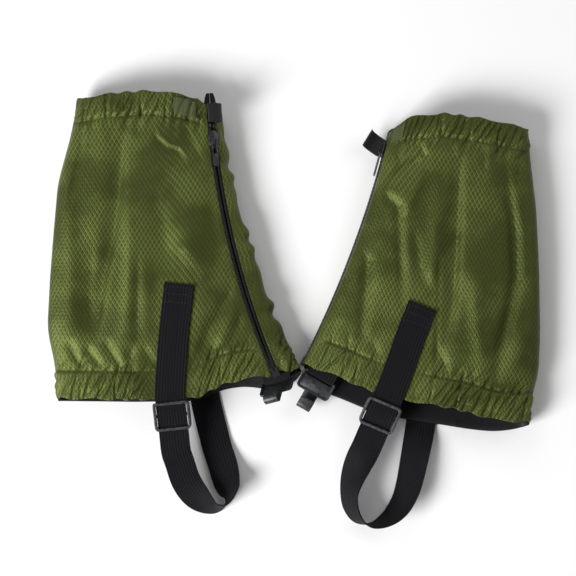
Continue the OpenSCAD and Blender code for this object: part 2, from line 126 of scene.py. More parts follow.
# Folds of the outer cloth, in plan: (height, width on the calf side, width on the zip side, points).
FOLDS = (
    ((-2.6, 9, 4, ((-139, 158), (-144, 134), (-147, 92), (-152, 58), (-159, 29), (-164, -5), (-167, -27))),
     (1.8, 6, 12, ((-137, 100), (-136, 67), (-137, 16), (-141, -26))),
     (0.5, 1.8, 1.8, ((-115, 155), (-112, 146), (-105, 139), (-95, 136), (-89, 128), (-86, 119))),
     (-0.7, 3.4, 3, ((-117, 150), (-113, 142), (-105, 135), (-96, 132), (-91, 125))),
     (-1.5, 6, 5, ((-45, 24), (-58, 4), (-70, -17), (-76, -34), (-80, -48))),
     (0.9, 6, 8, ((-42, 12), (-55, -13), (-66, -36))),
     (-1.0, 5, 4, ((-39, 3), (-48, -17), (-58, -38))),
     (-1.4, 9, 9, ((-114, 96), (-110, 63), (-102, 25))),
     (1.6, 10, 12, ((-80, 84), (-88, 50), (-85, 8), (-83, -30))),
     (-1.1, 4, 4, ((-130, 52), (-131, 8), (-132, -30))),
     (1.2, 6, 6, ((-120, 30), (-120, -30))),
     (-1.5, 8, 6, ((-168, 62), (-173, 16), (-171, -26))),
     (1.0, 7, 7, ((-183, 136), (-189, 92), (-186, 25), (-188, -26))),
     (-1.0, 3, 3, ((-176, 156), (-178, 134), (-183, 109), (-189, 86))),
     (-1.0, 5, 5, ((-92, 158), (-84, 138), (-74, 118))),
     (0.9, 6, 6, ((-66, 150), (-58, 100), (-50, 60)))),
    ((-3.0, 4, 9, ((-141, 134), (-138, 109), (-137, 75), (-135, 41), (-133, 8), (-129, -17), (-122, -35))),
     (1.8, 10, 8, ((-150, 40), (-153, 8), (-157, -26), (-160, -52))),
     (-2.4, 5, 6, ((-175, 136), (-180, 100), (-186, 62), (-187, 25), (-180, -9), (-173, -38), (-167, -62))),
     (1.6, 6, 6, ((-126, 109), (-120, 75), (-117, 41), (-114, 8), (-112, -34))),
     (-1.2, 2.6, 2.6, ((-122, 46), (-120, -9), (-119, -62))),
     (-1.9, 5, 5, ((-113, 132), (-104, 124), (-91, 117), (-78, 107), (-68, 99))),
     (1.2, 6, 6, ((-110, 115), (-99, 96), (-93, 79))),
     (-1.7, 5, 4, ((-66, 97), (-77, 95), (-87, 86), (-89, 50), (-91, 8), (-96, -17))),
     (0.9, 9, 9, ((-72, 79), (-73, 8))),
     (-1.4, 5, 4, ((-53, 55), (-61, 40), (-60, 16), (-57, -17), (-58, -32))),
     (0.7, 4, 4, ((-43, 20), (-54, 33))),
     (0.9, 4, 4, ((-139, 144), (-138, 126))),
     (1.3, 7, 7, ((-195, -10), (-186, -51))),
     (-1.1, 5, 5, ((-100, 71), (-109, 8)))),
)
GATHERS = (
    ((-1.6, 2.5, (-188, -28), (-178, -48)), (-1.9, 2.4, (-173, -32), (-161, -49)),
     (-1.7, 2.6, (-157, -28), (-144, -49)),
     (-1.1, 3.0, (-136, -30), (-134, -49)), (-1.4, 2.2, (-125, -32), (-114, -48)),
     (-1.3, 2.5, (-90, -28), (-85, -50)),
     (-0.9, 2.4, (-166, 155), (-171, 138)), (-0.9, 2.6, (-150, 155), (-154, 142)),
     (-0.8, 2.4, (-128, 157), (-131, 146)),
     (-0.9, 2.4, (-101, 157), (-99, 145)), (-0.8, 2.4, (-80, 154), (-76, 140))),
    ((-1.3, 2.2, (-93, -49), (-101, -68)), (-1.7, 2.4, (-122, -34), (-131, -64)),
     (-1.2, 2.2, (-136, -50), (-139, -70)),
     (-1.3, 2.4, (-66, -28), (-78, -52)), (-1.2, 2.4, (-47, -28), (-50, -46)),
     (-1.1, 2.2, (-33, -24), (-25, -42)),
     (-1.2, 2.4, (-150, -54), (-152, -72)), (-0.9, 2.4, (-104, 142), (-110, 128)),
     (-1.0, 2.6, (-158, 138), (-160, 118)),
     (-0.9, 2.4, (-84, 140), (-88, 126)), (-1.0, 2.2, (-190, 128), (-189, 112))),
)


# ---------------------------------------------------------------- shapes of the design

def smooth_table(x, table, blur=0.035):
    """A table read along x with straight lines between its points, averaged over a short
    stretch on each side, so that its corners are rounded."""
    a = np.asarray(table, float)
    return sum(np.interp(x + o * blur, a[:, 0], a[:, 1]) for o in (-1, -0.5, 0, 0.5, 1)) / 5


def zip_angle(s, t):
    """Angle of the zip's arc at a share t of the height: linear from boot end to knee end."""
    return np.radians(ZIP_LOW[s] + (ZIP_TOP[s] - ZIP_LOW[s]) * t)


def zip_x(s, t):
    """Sideways place of the zip: centre plus radius times the cosine of its angle."""
    return ZIP_C[s][0] + ZIP_R[s] * np.cos(zip_angle(s, t))


def along(s, q, t, lip):
    """Place along the leg: a straight blend from the lower edge, less the lip, to the upper."""
    k = np.clip(q, 0, 1.12)
    low = smooth_table(k, LOW_EDGE[s]) - lip * smooth_table(k, LIP[s])
    return low + (smooth_table(k, TOP_EDGE[s]) - low) * t


def wall_round(s, t, d, a):
    """Superellipse of exponent three round the flattened tube, d inside its outer face, with
    a flat sole; a is the angle in degrees, 0 at the shin fold and 180 at the calf fold."""
    a = np.radians(a)
    xl, zx = smooth_table(t, CALF[s]), zip_x(s, t)
    xr = zx + FLAP_LOW[s] + (FLAP_TOP[s] - FLAP_LOW[s]) * t
    ex = np.sign(np.cos(a)) * np.abs(np.cos(a)) ** (2 / 3)
    ez = np.sign(np.sin(a)) * np.abs(np.sin(a)) ** (2 / 3)
    x = (xl + xr) / 2 + ((xr - xl) / 2 - d) * ex
    z = LIE_H / 2 + (LIE_H / 2 - d) * ez * np.where(np.sin(a) < 0, 1.06, 1)
    sole = np.clip(-1.6 * np.sin(a), 0, 1)
    rise = LIFT * np.clip((LIFT_END + 0.08 - t) / 0.08, 0, 1) * sole
    y = along(s, (x - xl) / (zx - xl), t, sole)
    return np.stack([x, y, np.maximum(z, d) + rise], -1)


def wall_zip(s, t, d, w):
    """Straight stretch beside the zip: w across it from its middle, in its tilted plane."""
    g, tilt = zip_angle(s, t), math.radians(ZIP_TILT[s])
    r = ZIP_R[s] - w * math.cos(tilt) + d * math.sin(tilt)
    z = ZIP_Z[s] - w * math.sin(tilt) - d * math.cos(tilt)
    return np.stack(np.broadcast_arrays(ZIP_C[s][0] + r * np.cos(g), ZIP_C[s][1] + r * np.sin(g), z), -1)


def edge_angle(s, t, w):
    """Angle round the section, in degrees, at which the wall is w beyond the zip."""
    xl, zx = smooth_table(t, CALF[s]), zip_x(s, t)
    xr = zx + FLAP_LOW[s] + (FLAP_TOP[s] - FLAP_LOW[s]) * t
    k = np.clip((zx + w - (xl + xr) / 2) / ((xr - xl) / 2), 0, 1)
    return np.degrees(np.arccos(k ** 1.5))


def rows_of(s, t, d, kind, n=110):
    """Points of the wall for rows of height share t and depth d: the visible side from the calf
    seam to the zip, the hidden side from the zip round to the seam, or the whole way round."""
    t, d = t[:, None], d[:, None]
    i = np.linspace(0, 1, n)[None]
    if kind == "near":
        stop = edge_angle(s, t, -6 * math.cos(math.radians(ZIP_TILT[s])) - 4)
        round_part = wall_round(s, t, d, SEAM + (stop - SEAM) * i)
        return np.concatenate([round_part, wall_zip(s, t, d, np.array([[-6, -ZIP_GAP]]))], 1)
    if kind == "far":
        start = -22.0 if ZIP_TILT[s] > 45 else np.minimum(30, edge_angle(s, t, 8))
        round_part = wall_round(s, t, d, start + (SEAM - 360 - start) * i)
        return np.concatenate([wall_zip(s, t, d, np.array([[ZIP_GAP, 6]])), round_part], 1)
    a0, a1 = edge_angle(s, t, -15), (4.0 if s == 0 else -34.0) + 360
    return wall_round(s, t, d, a1 + (a0 - a1) * i)


def unit(v):
    """Vectors divided by their own length."""
    return v / np.linalg.norm(v, axis=-1, keepdims=True)


def headings(line, closed=False):
    """Unit direction of a line at each of its points, from the points on both sides of it."""
    return unit(np.roll(line, -1, 0) - np.roll(line, 1, 0) if closed else np.gradient(line, axis=0))


def travelled(rows):
    """Distance from the start of a row of points, or of each of several rows: a running sum."""
    steps = np.linalg.norm(np.diff(rows, axis=-2), axis=-1)
    return np.concatenate([np.zeros((*steps.shape[:-1], 1)), np.cumsum(steps, -1)], -1)


def even(p, n):
    """Rows of points shared out anew at n even steps of their own length."""
    out = np.empty((len(p), n, 3))
    for k, (row, l) in enumerate(zip(p, travelled(p))):
        at = np.linspace(0, l[-1], n)
        for c in range(3):
            out[k, :, c] = np.interp(at, l, row[:, c])
    return out


def relax(p, times):
    """Each inner point moves to the quarter, half, quarter mean of its row, times over."""
    for _ in range(times):
        p[:, 1:-1] = (p[:, :-2] + 2 * p[:, 1:-1] + p[:, 2:]) / 4
    return p


def normals(p):
    """Cross product of the grid's two directions, made unit."""
    n = np.cross(np.gradient(p, axis=0), np.gradient(p, axis=1))
    return n / np.maximum(np.linalg.norm(n, axis=-1, keepdims=True), 1e-9)


def step(x, a, b):
    """Smooth step from 0 at a to 1 at b."""
    k = np.clip((x - a) / (b - a), 0, 1)
    return k * k * (3 - 2 * k)


def to_line(x, y, points):
    """Signed distance in plan from a run of straight stretches, positive on its +X side, and
    how far along the run the nearest point is, from 0 to 1."""
    pts = np.asarray(points, float)
    best = np.full(x.shape, 1e9)
    share = np.zeros(x.shape)
    side = np.ones(x.shape)
    for k, (a, b) in enumerate(zip(pts[:-1], pts[1:])):
        d = b - a
        u = ((x - a[0]) * d[0] + (y - a[1]) * d[1]) / (d @ d)
        c = np.clip(u, 0, 1)
        r = np.hypot(x - a[0] - c * d[0], y - a[1] - c * d[1])
        m = r < best
        best = np.where(m, r, best)
        share = np.where(m, (k + u) / (len(pts) - 1), share)
        side = np.where(m, np.where(d[0] * (y - a[1]) - d[1] * (x - a[0]) > 0, 1, -1), side)
    return best * side * (1 if pts[-1][1] < pts[0][1] else -1), share


def folds(s, x, y, scale):
    """Sum of ridges and valleys: each falls off as a bell across its line, with its own width on
    either side, and fades out beyond the line's ends."""
    out = np.zeros(x.shape)
    for h, wa, wb, pts in FOLDS[s]:
        d, u = to_line(x, y, pts)
        bell = np.exp(-(d / np.where(d < 0, wa, wb)) ** 2)
        out += h * bell * step(u, -0.1, 0.34) * step(-u, -1.1, -0.66)
    for h, w, a, b in GATHERS[s]:
        d, u = to_line(x, y, (a, b))
        bell = np.exp(-(d / (w * (1.9 - 0.9 * np.clip(u, 0, 1)))) ** 2)
        out += 0.72 * h * bell * step(u, -0.35, 0.3) * step(-u, -1.3, -0.9)
    out += 0.35 * np.sin(x / 7.3 + 1.3 * np.sin(y / 31)) * np.sin(y / 43 + x / 60 + 1)
    return out * scale


def puckers(x, v, seed, hem, reach, lean, depth):
    """Narrow valleys across a gathered hem, v from its edge: each is a bell across a leaning,
    slightly curved line, full in the hem and fading over its own reach beyond the stitching."""
    rng = np.random.default_rng(seed)
    out = np.zeros(x.shape)
    for gap, size in ((1.0, 1.0), (0.6, 0.42)):
        c = -214.0
        while c < 10:
            c += gap * rng.uniform(3.4, 8.0)
            slant = lean * rng.uniform(0.1, 0.85)
            w, a = size * rng.uniform(0.9, 1.7), size * rng.uniform(0.7, 1.5)
            r, bend = size * reach * rng.uniform(0.4, 1.7), rng.uniform(-1.4, 1.4)
            line = x - c - slant * (v - hem / 2) - bend * np.sin(v / hem * 3 + c)
            wide = w * (1 + np.clip(v - hem, 0, 40) / 7)
            short = 0.76 + 0.24 * np.sin(v / hem * 4 + 5 * bend)
            fade = step(-v, -hem - r, -hem + 2) * (0.75 + 0.25 * step(v, 0, 6))
            out -= a * short * np.exp(-(line / wide) ** 2) * fade
    swell = 1.3 * step(-v, -hem, -hem + 3) * (0.6 + 0.4 * np.sin(math.pi * np.clip(v / hem, 0, 1)))
    return (out + swell) * depth


def strap_line(s):
    """Middle line of the webbing's top part and adjuster, for keeping the cloth below it."""
    return [(p[0], p[1]) for p in STRAP_TOP[s]] + [(BUCKLE[s][0], BUCKLE[s][1])]


def relief(s, p, n, low_v, high_v, props, hem_low, hem_top):
    """How far the cloth stands out of the design's wall, along its normal: folds and puckers on
    the upper side, puckers alone underneath, nothing beside the zip or above the wall at straps."""
    x, y = p[..., 0], p[..., 1]
    lean = 1 if s == 0 else -1
    up = step(n[..., 2], 0.05, 0.45)
    down = step(-n[..., 2], 0.1, 0.5)
    body = step(low_v, hem_low - 4, hem_low + 12) * step(high_v, hem_top - 4, hem_top + 10)
    top = folds(s, x, y, props.fold_height) * (0.12 + 0.88 * body)
    top += puckers(x, low_v, 11 + s, hem_low, 15, lean, props.pucker_depth)
    top += puckers(x, high_v, 21 + s, hem_top, 12, -lean, 0.85 * props.pucker_depth)
    for v, hem in ((low_v, hem_low), (high_v, hem_top)):
        top -= 0.8 * np.exp(-((v - hem) / 1.2) ** 2)
    sole = puckers(x, low_v, 31 + s, hem_low, 9, lean, 0.55)
    sole += puckers(x, high_v, 41 + s, hem_top, 7, -lean, 0.5)
    shin = step(n[..., 0], 0.25, 0.8) * body
    waves = 0.9 * np.sin(y / 7.1 + 2 * np.sin(y / 19)) + 0.8 * np.sin(y / 3.4 + 1.5 * np.sin(y / 9))
    rumple = shin * (waves - 0.2) * props.fold_height
    away = np.abs(np.hypot(x - ZIP_C[s][0], y - ZIP_C[s][1]) - ZIP_R[s])
    keep = step(away, 4.5, 15)
    strap, _ = to_line(x, y, strap_line(s))
    free = step(np.abs(strap), 12.8, 32)
    top = np.where(top > -0.1, -0.1 + (top + 0.1) * free, top * (0.35 + 0.65 * free))
    return (top * up + rumple + np.minimum(sole, 0) * down) * keep


# ---------------------------------------------------------------- meshes

def place(s, p):
    """Millimetres in a gaiter's own frame to metres in the row's frame."""
    return (np.asarray(p, float) * ((-1, 1, 1) if s else (1, 1, 1)) + CENTRE) / 1000


def grid_faces(m, n, closed=False, flip=False):
    """Quads of an m by n grid of points, closed along its second direction if asked."""
    i, j = np.meshgrid(np.arange(m - 1), np.arange(n if closed else n - 1), indexing="ij")
    k = (j + 1) % n
    f = np.stack([i * n + j, i * n + k, (i + 1) * n + k, (i + 1) * n + j], -1).reshape(-1, 4)
    return f[:, ::-1] if flip else f


def tube_faces(m, n, flip=False):
    """Quads of m rings of n points each, and one face over each open end."""
    ends = [list(range(n))[::-1], [(m - 1) * n + j for j in range(n)]]
    return grid_faces(m, n, closed=True, flip=flip).tolist() + [f[::-1] if flip else f for f in ends]


class Soup:
    """Points, faces and cloth coordinates gathered from several surfaces into one mesh."""

    def __init__(self):
        self.points, self.faces, self.uvs, self.count = [], [], [], 0

    def add(self, points, faces, uv=None):
        points = np.asarray(points, float).reshape(-1, 3)
        self.points.append(points)
        self.faces += (np.asarray(faces) + self.count).tolist() if isinstance(faces, np.ndarray) else [
            [i + self.count for i in f] for f in faces]
        self.uvs.append(np.zeros((len(points), 2)) if uv is None else np.asarray(uv, float).reshape(-1, 2))
        self.count += len(points)

    def put(self, shape, origin, matrix, uv=None):
        """A shape's points and faces, turned by a matrix and carried to an origin."""
        points, faces = shape
        self.add(moved(points, origin, matrix), faces, uv)

    def mesh(self, name, s, smooth=True):
        """The finished object, in the row's frame, its faces turned over on the mirrored side."""
        faces = [f[::-1] for f in self.faces] if s else self.faces
        data = bpy.data.meshes.new(name)
        data.from_pydata(place(s, np.concatenate(self.points)).tolist(), [], faces)
        uv = np.concatenate(self.uvs) / 1000
        index = np.empty(len(data.loops), np.int32)
        data.loops.foreach_get("vertex_index", index)
        data.uv_layers.new(name="cloth").data.foreach_set("uv", uv[index].astype(np.float32).ravel())
        data.polygons.foreach_set("use_smooth", np.full(len(data.polygons), smooth))
        data.update()
        obj = bpy.data.objects.new(name, data)
        bpy.context.scene.collection.objects.link(obj)
        return obj


def catmull(p, k):
    """Smooth curve through rows of values: the Catmull-Rom cubic with k steps to a stretch."""
    p = np.asarray(p, float)
    a, b, c, d = p[np.r_[0, 0:len(p) - 2]], p[:-1], p[1:], p[np.r_[2:len(p), len(p) - 1]]
    u = (np.arange(k) / k)[None, :, None]
    a, b, c, d = (q[:, None] for q in (a, b, c, d))
    out = b + u * ((c - a) + u * ((2 * a - 5 * b + 4 * c - d) + u * (3 * b - a - 3 * c + d))) / 2
    return np.concatenate([out.reshape(-1, p.shape[1]), p[-1:]])


def section(w, h, r, k=4, ribs=0, rib=0.0):
    """Closed outline of a w by h rectangle with corners of radius r, from its lower left, and
    ribs raised by a cosine across its two wide sides."""
    pts = []
    for cx, cy, a in ((1, -1, -90), (1, 1, 0), (-1, 1, 90), (-1, -1, 180)):
        q = np.radians(a + np.linspace(0, 90, k))
        pts.append(np.stack([cx * (w / 2 - r) + r * np.cos(q), cy * (h / 2 - r) + r * np.sin(q)], 1))
        if ribs and cx == cy:
            x = np.linspace(1, -1, ribs * 6 + 1)[1:-1] * cy * (w / 2 - r)
            pts.append(np.stack([x, cy * (h / 2 + rib * (np.cos(x / (w / 2 - r) * ribs * math.pi) - 1) / 2)], 1))
    return np.concatenate(pts)


def disc(radius, sides):
    """Outline of a circle, from even steps of its angle."""
    q = np.linspace(0, 2 * math.pi, sides + 1)[:-1]
    return radius * np.stack([np.cos(q), np.sin(q)], 1)


def steady(vector, line):
    """The same direction at every point of a line."""
    return np.tile(np.asarray(vector, float), (len(line), 1))


def flat_at(points, height=0.0):
    """Points in a plane, given one height."""
    points = np.asarray(points, float)
    return np.c_[points, np.full(len(points), height)]


def sweep(line, across, up, outline, closed=False):
    """An outline carried along a line of points, in the plane of its across and up vectors."""
    pts = line[:, None] + outline[None, :, :1] * across[:, None] + outline[None, :, 1:] * up[:, None]
    m, n = pts.shape[:2]
    if closed:
        last = (m - 1) * n
        faces = grid_faces(m, n, closed=True, flip=True).tolist()
        faces += [[j, (j + 1) % n, last + (j + 1) % n, last + j] for j in range(n)]
    else:
        faces = tube_faces(m, n, flip=True)
    if np.cross(across[0], up[0]) @ (line[1] - line[0]) > 0:
        faces = [f[::-1] for f in faces]
    return pts.reshape(-1, 3), faces


def turn(axis, degrees):
    """Rotation matrix about the x, y or z axis."""
    c, s = math.cos(math.radians(degrees)), math.sin(math.radians(degrees))
    return np.array({"x": [[1, 0, 0], [0, c, -s], [0, s, c]], "y": [[c, 0, s], [0, 1, 0], [-s, 0, c]],
                     "z": [[c, -s, 0], [s, c, 0], [0, 0, 1]]}[axis])


def at_zip(s, degrees):
    """Place and turn of a frame on the zip's arc: X across it, Y up it, Z out of it."""
    g = turn("z", degrees - 180)
    origin = np.array([*ZIP_C[s], 0.0]) + g @ np.array([-ZIP_R[s], 0, ZIP_Z[s]])
    return origin, g @ turn("y", ZIP_TILT[s])


def moved(points, origin, matrix):
    """Points turned by a matrix, then carried to an origin."""
    return np.asarray(points, float) @ matrix.T + origin


def prism(outline, z0, z1, bevel=0.0, k=3):
    """A flat plate from an outline, its two rims rounded by stepping the outline inward."""
    o = np.asarray(outline, float)
    nxt, prv = np.roll(o, -1, 0) - o, o - np.roll(o, 1, 0)
    nrm = lambda v: np.stack([v[:, 1], -v[:, 0]], 1) / np.linalg.norm(v, axis=1, keepdims=True)
    a, b = nrm(nxt), nrm(prv)
    m = (a + b) / (1 + (a * b).sum(1, keepdims=True))
    q = np.linspace(0, math.pi / 2, k)
    rings = [(bevel * (1 - math.sin(u)), z0 + bevel * (1 - math.cos(u))) for u in q]
    rings += [(bevel * (1 - math.cos(u)), z1 - bevel * (1 - math.sin(u))) for u in q]
    pts = np.concatenate([np.c_[o - m * i, np.full(len(o), z)] for i, z in rings])
    return pts, tube_faces(len(rings), len(o))


def stitches(soup, line, normal, length=2.3, gap=1.0, radius=0.19, sink=0.05):
    """A row of thread stitches along a line on a surface: short bent capsules that dip into it
    at both ends."""
    l = travelled(line)
    starts = np.arange(0.6, l[-1] - length, length + gap)
    u = np.linspace(0, 1, 6)
    at = starts[:, None] + u * length
    p = np.stack([np.interp(at, l, line[:, c]) for c in range(3)], -1)
    n = unit(np.stack([np.interp(at, l, normal[:, c]) for c in range(3)], -1))
    side = np.cross(unit(np.gradient(p, axis=1)), n)
    lift = (radius * 1.6 * np.sin(math.pi * u) - radius * 0.8 - sink)[None, :, None]
    fat = (radius * np.sqrt(np.clip(np.sin(math.pi * (0.08 + 0.84 * u)), 0, 1)))[None, :, None, None]
    q = np.linspace(0, 2 * math.pi, 6, endpoint=False)
    ring = (side[:, :, None] * np.cos(q)[:, None] + n[:, :, None] * np.sin(q)[:, None]) * fat
    pts = (p + n * lift)[:, :, None] + ring
    base = grid_faces(6, 6, closed=True, flip=True)
    for block in pts:
        soup.add(block, base, np.tile(np.c_[u * length, u * 0], (1, 6)).reshape(-1, 2))


def finish_piece(obj, side, body, slot, material, *nodes):
    """Material, body and the CAD nodes that the piece stands for; the finish slot is not used."""
    obj.data.materials.append(material)
    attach(obj, f"{side}_{body}")
    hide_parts(*[f"{side}_{n}" for n in nodes])
    return obj


# ---------------------------------------------------------------- materials

def add(tree, kind, inputs=None, **props):
    """One shader node, its properties set and its inputs given a value or a link."""
    node = tree.nodes.new(kind)
    for key, value in props.items():
        setattr(node, key, value)
    for key, value in (inputs or {}).items():
        if isinstance(value, bpy.types.NodeSocket):
            tree.links.new(value, node.inputs[key])
        else:
            node.inputs[key].default_value = value
    return node


def calc(tree, operation, *values):
    """A math node's result."""
    return add(tree, "ShaderNodeMath", dict(enumerate(values)), operation=operation).outputs[0]


def ramp(tree, value, a, b, low=0.0, high=1.0):
    """A smooth step of a value from low at a to high at b."""
    ends = {"Value": value, "From Min": a, "From Max": b, "To Min": low, "To Max": high}
    return add(tree, "ShaderNodeMapRange", ends, interpolation_type="SMOOTHSTEP").outputs[0]


def group(name, inputs, outputs):
    """An empty shader node group with float inputs and outputs, and its two end nodes."""
    tree = bpy.data.node_groups.new(name, "ShaderNodeTree")
    for key, value in inputs.items():
        tree.interface.new_socket(key, in_out="INPUT", socket_type="NodeSocketFloat").default_value = value
    for key in outputs:
        tree.interface.new_socket(key, in_out="OUTPUT", socket_type="NodeSocketFloat")
    return tree, tree.nodes.new("NodeGroupInput"), tree.nodes.new("NodeGroupOutput")


def use(tree, name, **values):
    """A node group placed in a material."""
    node = tree.nodes.new("ShaderNodeGroup")
    node.node_tree = bpy.data.node_groups[name]
    for key, value in values.items():
        node.inputs[key].default_value = value
    return node


def cloth_axes(tree):
    """Distance round the cloth and up it, from the piece's own cloth coordinates."""
    uv = add(tree, "ShaderNodeUVMap", uv_map="cloth")
    xyz = add(tree, "ShaderNodeSeparateXYZ", {0: uv.outputs[0]})
    return xyz.outputs[0], xyz.outputs[1]


def make_groups():
    """The shared effects: diamond grid, plain weave, webbing weave, tone and the painted edge highlight."""
    t, i, o = group("diamond_grid", {"Wide": 0.0038, "High": 0.0063, "Line": 0.17}, ("Line", "Pillow"))
    u, v = cloth_axes(t)
    a, b = calc(t, "DIVIDE", u, i.outputs[0]), calc(t, "DIVIDE", v, i.outputs[1])
    tri = [calc(t, "MULTIPLY", calc(t, "ABSOLUTE", calc(t, "SUBTRACT", calc(t, "FRACT", c), 0.5)), 2.0)
           for c in (calc(t, "ADD", a, b), calc(t, "SUBTRACT", a, b))]
    most = calc(t, "MAXIMUM", *tri)
    start = calc(t, "SUBTRACT", 1.0, i.outputs[2])
    share = calc(t, "MAXIMUM", calc(t, "DIVIDE", calc(t, "SUBTRACT", most, start), i.outputs[2]), 0.0)
    t.links.new(calc(t, "SMOOTH_MIN", share, 1.0, 0.3), o.inputs[0])
    pillow = calc(t, "MULTIPLY", *(calc(t, "SUBTRACT", 1.0, c) for c in tri))
    t.links.new(pillow, o.inputs[1])

    t, i, o = group("plain_weave", {"Pitch": 0.00042}, ("Height",))
    u, v = cloth_axes(t)
    waves = [calc(t, "SINE", calc(t, "MULTIPLY", calc(t, "DIVIDE", c, i.outputs[0]), 6.2832)) for c in (u, v)]
    t.links.new(calc(t, "MULTIPLY_ADD", calc(t, "MULTIPLY", *waves), 0.5, 0.5), o.inputs[0])

    t, i, o = group("webbing_weave", {"Rib": 0.0026, "Pick": 0.0011}, ("Height", "Groove"))
    u, v = cloth_axes(t)
    rib = calc(t, "ABSOLUTE", calc(t, "SUBTRACT", calc(t, "FRACT", calc(t, "DIVIDE", u, i.outputs[0])), 0.5))
    slant = calc(t, "MULTIPLY_ADD", rib, 1.6, calc(t, "DIVIDE", v, i.outputs[1]))
    pick = calc(t, "ABSOLUTE", calc(t, "SINE", calc(t, "MULTIPLY", slant, 3.1416)))
    t.links.new(pick, o.inputs[0])
    t.links.new(ramp(t, rib, 0.34, 0.5), o.inputs[1])

    t, i, o = group("tone", {"Scale": 30.0}, ("Tone", "Grain"))
    where = add(t, "ShaderNodeTexCoord").outputs["Object"]
    big = add(t, "ShaderNodeTexNoise", {"Vector": where, "Scale": i.outputs[0], "Detail": 3.0})
    fine = add(t, "ShaderNodeTexNoise", {"Vector": where, "Scale": 1400.0, "Detail": 2.0})
    t.links.new(big.outputs[0], o.inputs[0])
    t.links.new(fine.outputs[0], o.inputs[1])

    # Painted highlight mask: convex edges found by pointiness, broken into patches by noise.
    t, i, o = group("edge_highlight", {"Sharp": 0.53}, ("Highlight",))
    bend = add(t, "ShaderNodeNewGeometry").outputs["Pointiness"]
    spots = add(t, "ShaderNodeTexNoise", {"Vector": add(t, "ShaderNodeTexCoord").outputs["Object"], "Scale": 420.0})
    edge = add(t, "ShaderNodeMapRange", {"Value": bend, "From Min": 0.5, "From Max": i.outputs[0]})
    t.links.new(calc(t, "MULTIPLY", edge.outputs[0], ramp(t, spots.outputs[0], 0.35, 0.6)), o.inputs[0])


def material(name):
    """A new material, its node tree and its shader."""
    mat = bpy.data.materials.new(name)
    mat.use_nodes = True
    tree = mat.node_tree
    return mat, tree, tree.nodes["Principled BSDF"]


def mix_colour(tree, fac, a, b):
    """A blend of two colours by a factor."""
    node = add(tree, "ShaderNodeMix", data_type="RGBA")
    for socket, value in ((node.inputs[0], fac), (node.inputs[6], a), (node.inputs[7], b)):
        if isinstance(value, bpy.types.NodeSocket):
            tree.links.new(value, socket)
        else:
            socket.default_value = value if isinstance(value, float) else (*value, 1)
    return node.outputs[2]


def bump(tree, height, distance, below=None, strength=1.0):
    """A bump's normal, laid over the one below it."""
    node = add(tree, "ShaderNodeBump", {"Height": height, "Distance": distance, "Strength": strength})
    if below is not None:
        tree.links.new(below, node.inputs["Normal"])
    return node.outputs[0]


def ripstop_material(name):
    """Green cloth with a raised diamond grid over a plain weave; its grid lines carry a painted sheen, brighter
    where the tone is.
    """
    mat, t, p = material(name)
    grid, weave, tone = use(t, "diamond_grid"), use(t, "plain_weave"), use(t, "tone", Scale=26.0)
    cloth = mix_colour(t, ramp(t, tone.outputs[0], 0.35, 0.7), (0.023, 0.028, 0.0070), (0.043, 0.052, 0.0130))
    cloth = mix_colour(t, calc(t, "MULTIPLY", weave.outputs[0], 0.25), cloth, (0.022, 0.027, 0.006))
    # Painted sheen: the grid lines take a bright green in place of the cloth's own colour, strongest in patches
    # where the large tone is high.
    line = calc(t, "MULTIPLY", grid.outputs[0], ramp(t, tone.outputs[0], 0.4, 0.62, 0.16, 1.0))
    colour = mix_colour(t, line, cloth, (0.185, 0.220, 0.062))
    t.links.new(colour, p.inputs["Base Color"])
    t.links.new(ramp(t, grid.outputs[0], 0.0, 1.0, 0.40, 0.30), p.inputs["Roughness"])
    p.inputs["Specular IOR Level"].default_value = 0.75
    p.inputs["Specular Tint"].default_value = (0.55, 0.66, 0.20, 1)
    p.inputs["Sheen Weight"].default_value = 0.03
    p.inputs["Sheen Roughness"].default_value = 0.4
    p.inputs["Sheen Tint"].default_value = (0.5, 0.55, 0.3, 1)
    n = bump(t, weave.outputs[0], 0.00003)
    n = bump(t, grid.outputs[1], 0.00022, n)
    n = bump(t, grid.outputs[0], 0.00010, n)
    t.links.new(bump(t, tone.outputs[1], 0.00003, n, 0.4), p.inputs["Normal"])
    return mat


def lining_material(name):
    """Black plain-woven cloth with a soft change of tone."""
    mat, t, p = material(name)
    weave, tone = use(t, "plain_weave", Pitch=0.0005), use(t, "tone", Scale=40.0)
    colour = mix_colour(t, tone.outputs[0], (0.004, 0.004, 0.005), (0.0075, 0.0075, 0.0092))
    t.links.new(colour, p.inputs["Base Color"])
    t.links.new(ramp(t, tone.outputs[1], 0.2, 0.8, 0.42, 0.6), p.inputs["Roughness"])
    p.inputs["Specular IOR Level"].default_value = 0.22
    t.links.new(bump(t, weave.outputs[0], 0.00004), p.inputs["Normal"])
    return mat


def woven_material(name, shaded_colour, light, rib, pick, depth, rough=0.62):
    """Webbing, tape and elastic: a ribbed weave with painted shade in its grooves and low picks
    and a painted highlight on its floats, with fine fibre grain."""
    mat, t, p = material(name)
    weave, tone = use(t, "webbing_weave", Rib=rib, Pick=pick), use(t, "tone", Scale=60.0)
    # Painted light and shade: the shaded colour lies in the low places between picks, a darker copy of it fills the
    # grooves, and the light colour lies on the raised floats.
    base = mix_colour(t, weave.outputs[0], shaded_colour, light)
    base = mix_colour(t, calc(t, "MULTIPLY", weave.outputs[1], 0.55), base, tuple(0.45 * c for c in shaded_colour))
    fibres = ramp(t, tone.outputs[1], 0.45, 0.75, 0.0, 0.35)
    base = mix_colour(t, fibres, base, tuple(1.7 * c for c in light))
    t.links.new(base, p.inputs["Base Color"])
    t.links.new(ramp(t, weave.outputs[0], 0.0, 1.0, rough + 0.2, rough), p.inputs["Roughness"])
    p.inputs["Sheen Weight"].default_value = 0.03
    p.inputs["Sheen Roughness"].default_value = 0.45
    p.inputs["Specular IOR Level"].default_value = 0.09
    n = bump(t, weave.outputs[0], depth)
    n = bump(t, weave.outputs[1], depth * 1.6, n, -1.0)
    t.links.new(bump(t, tone.outputs[1], 0.00004, n, 0.5), p.inputs["Normal"])
    return mat


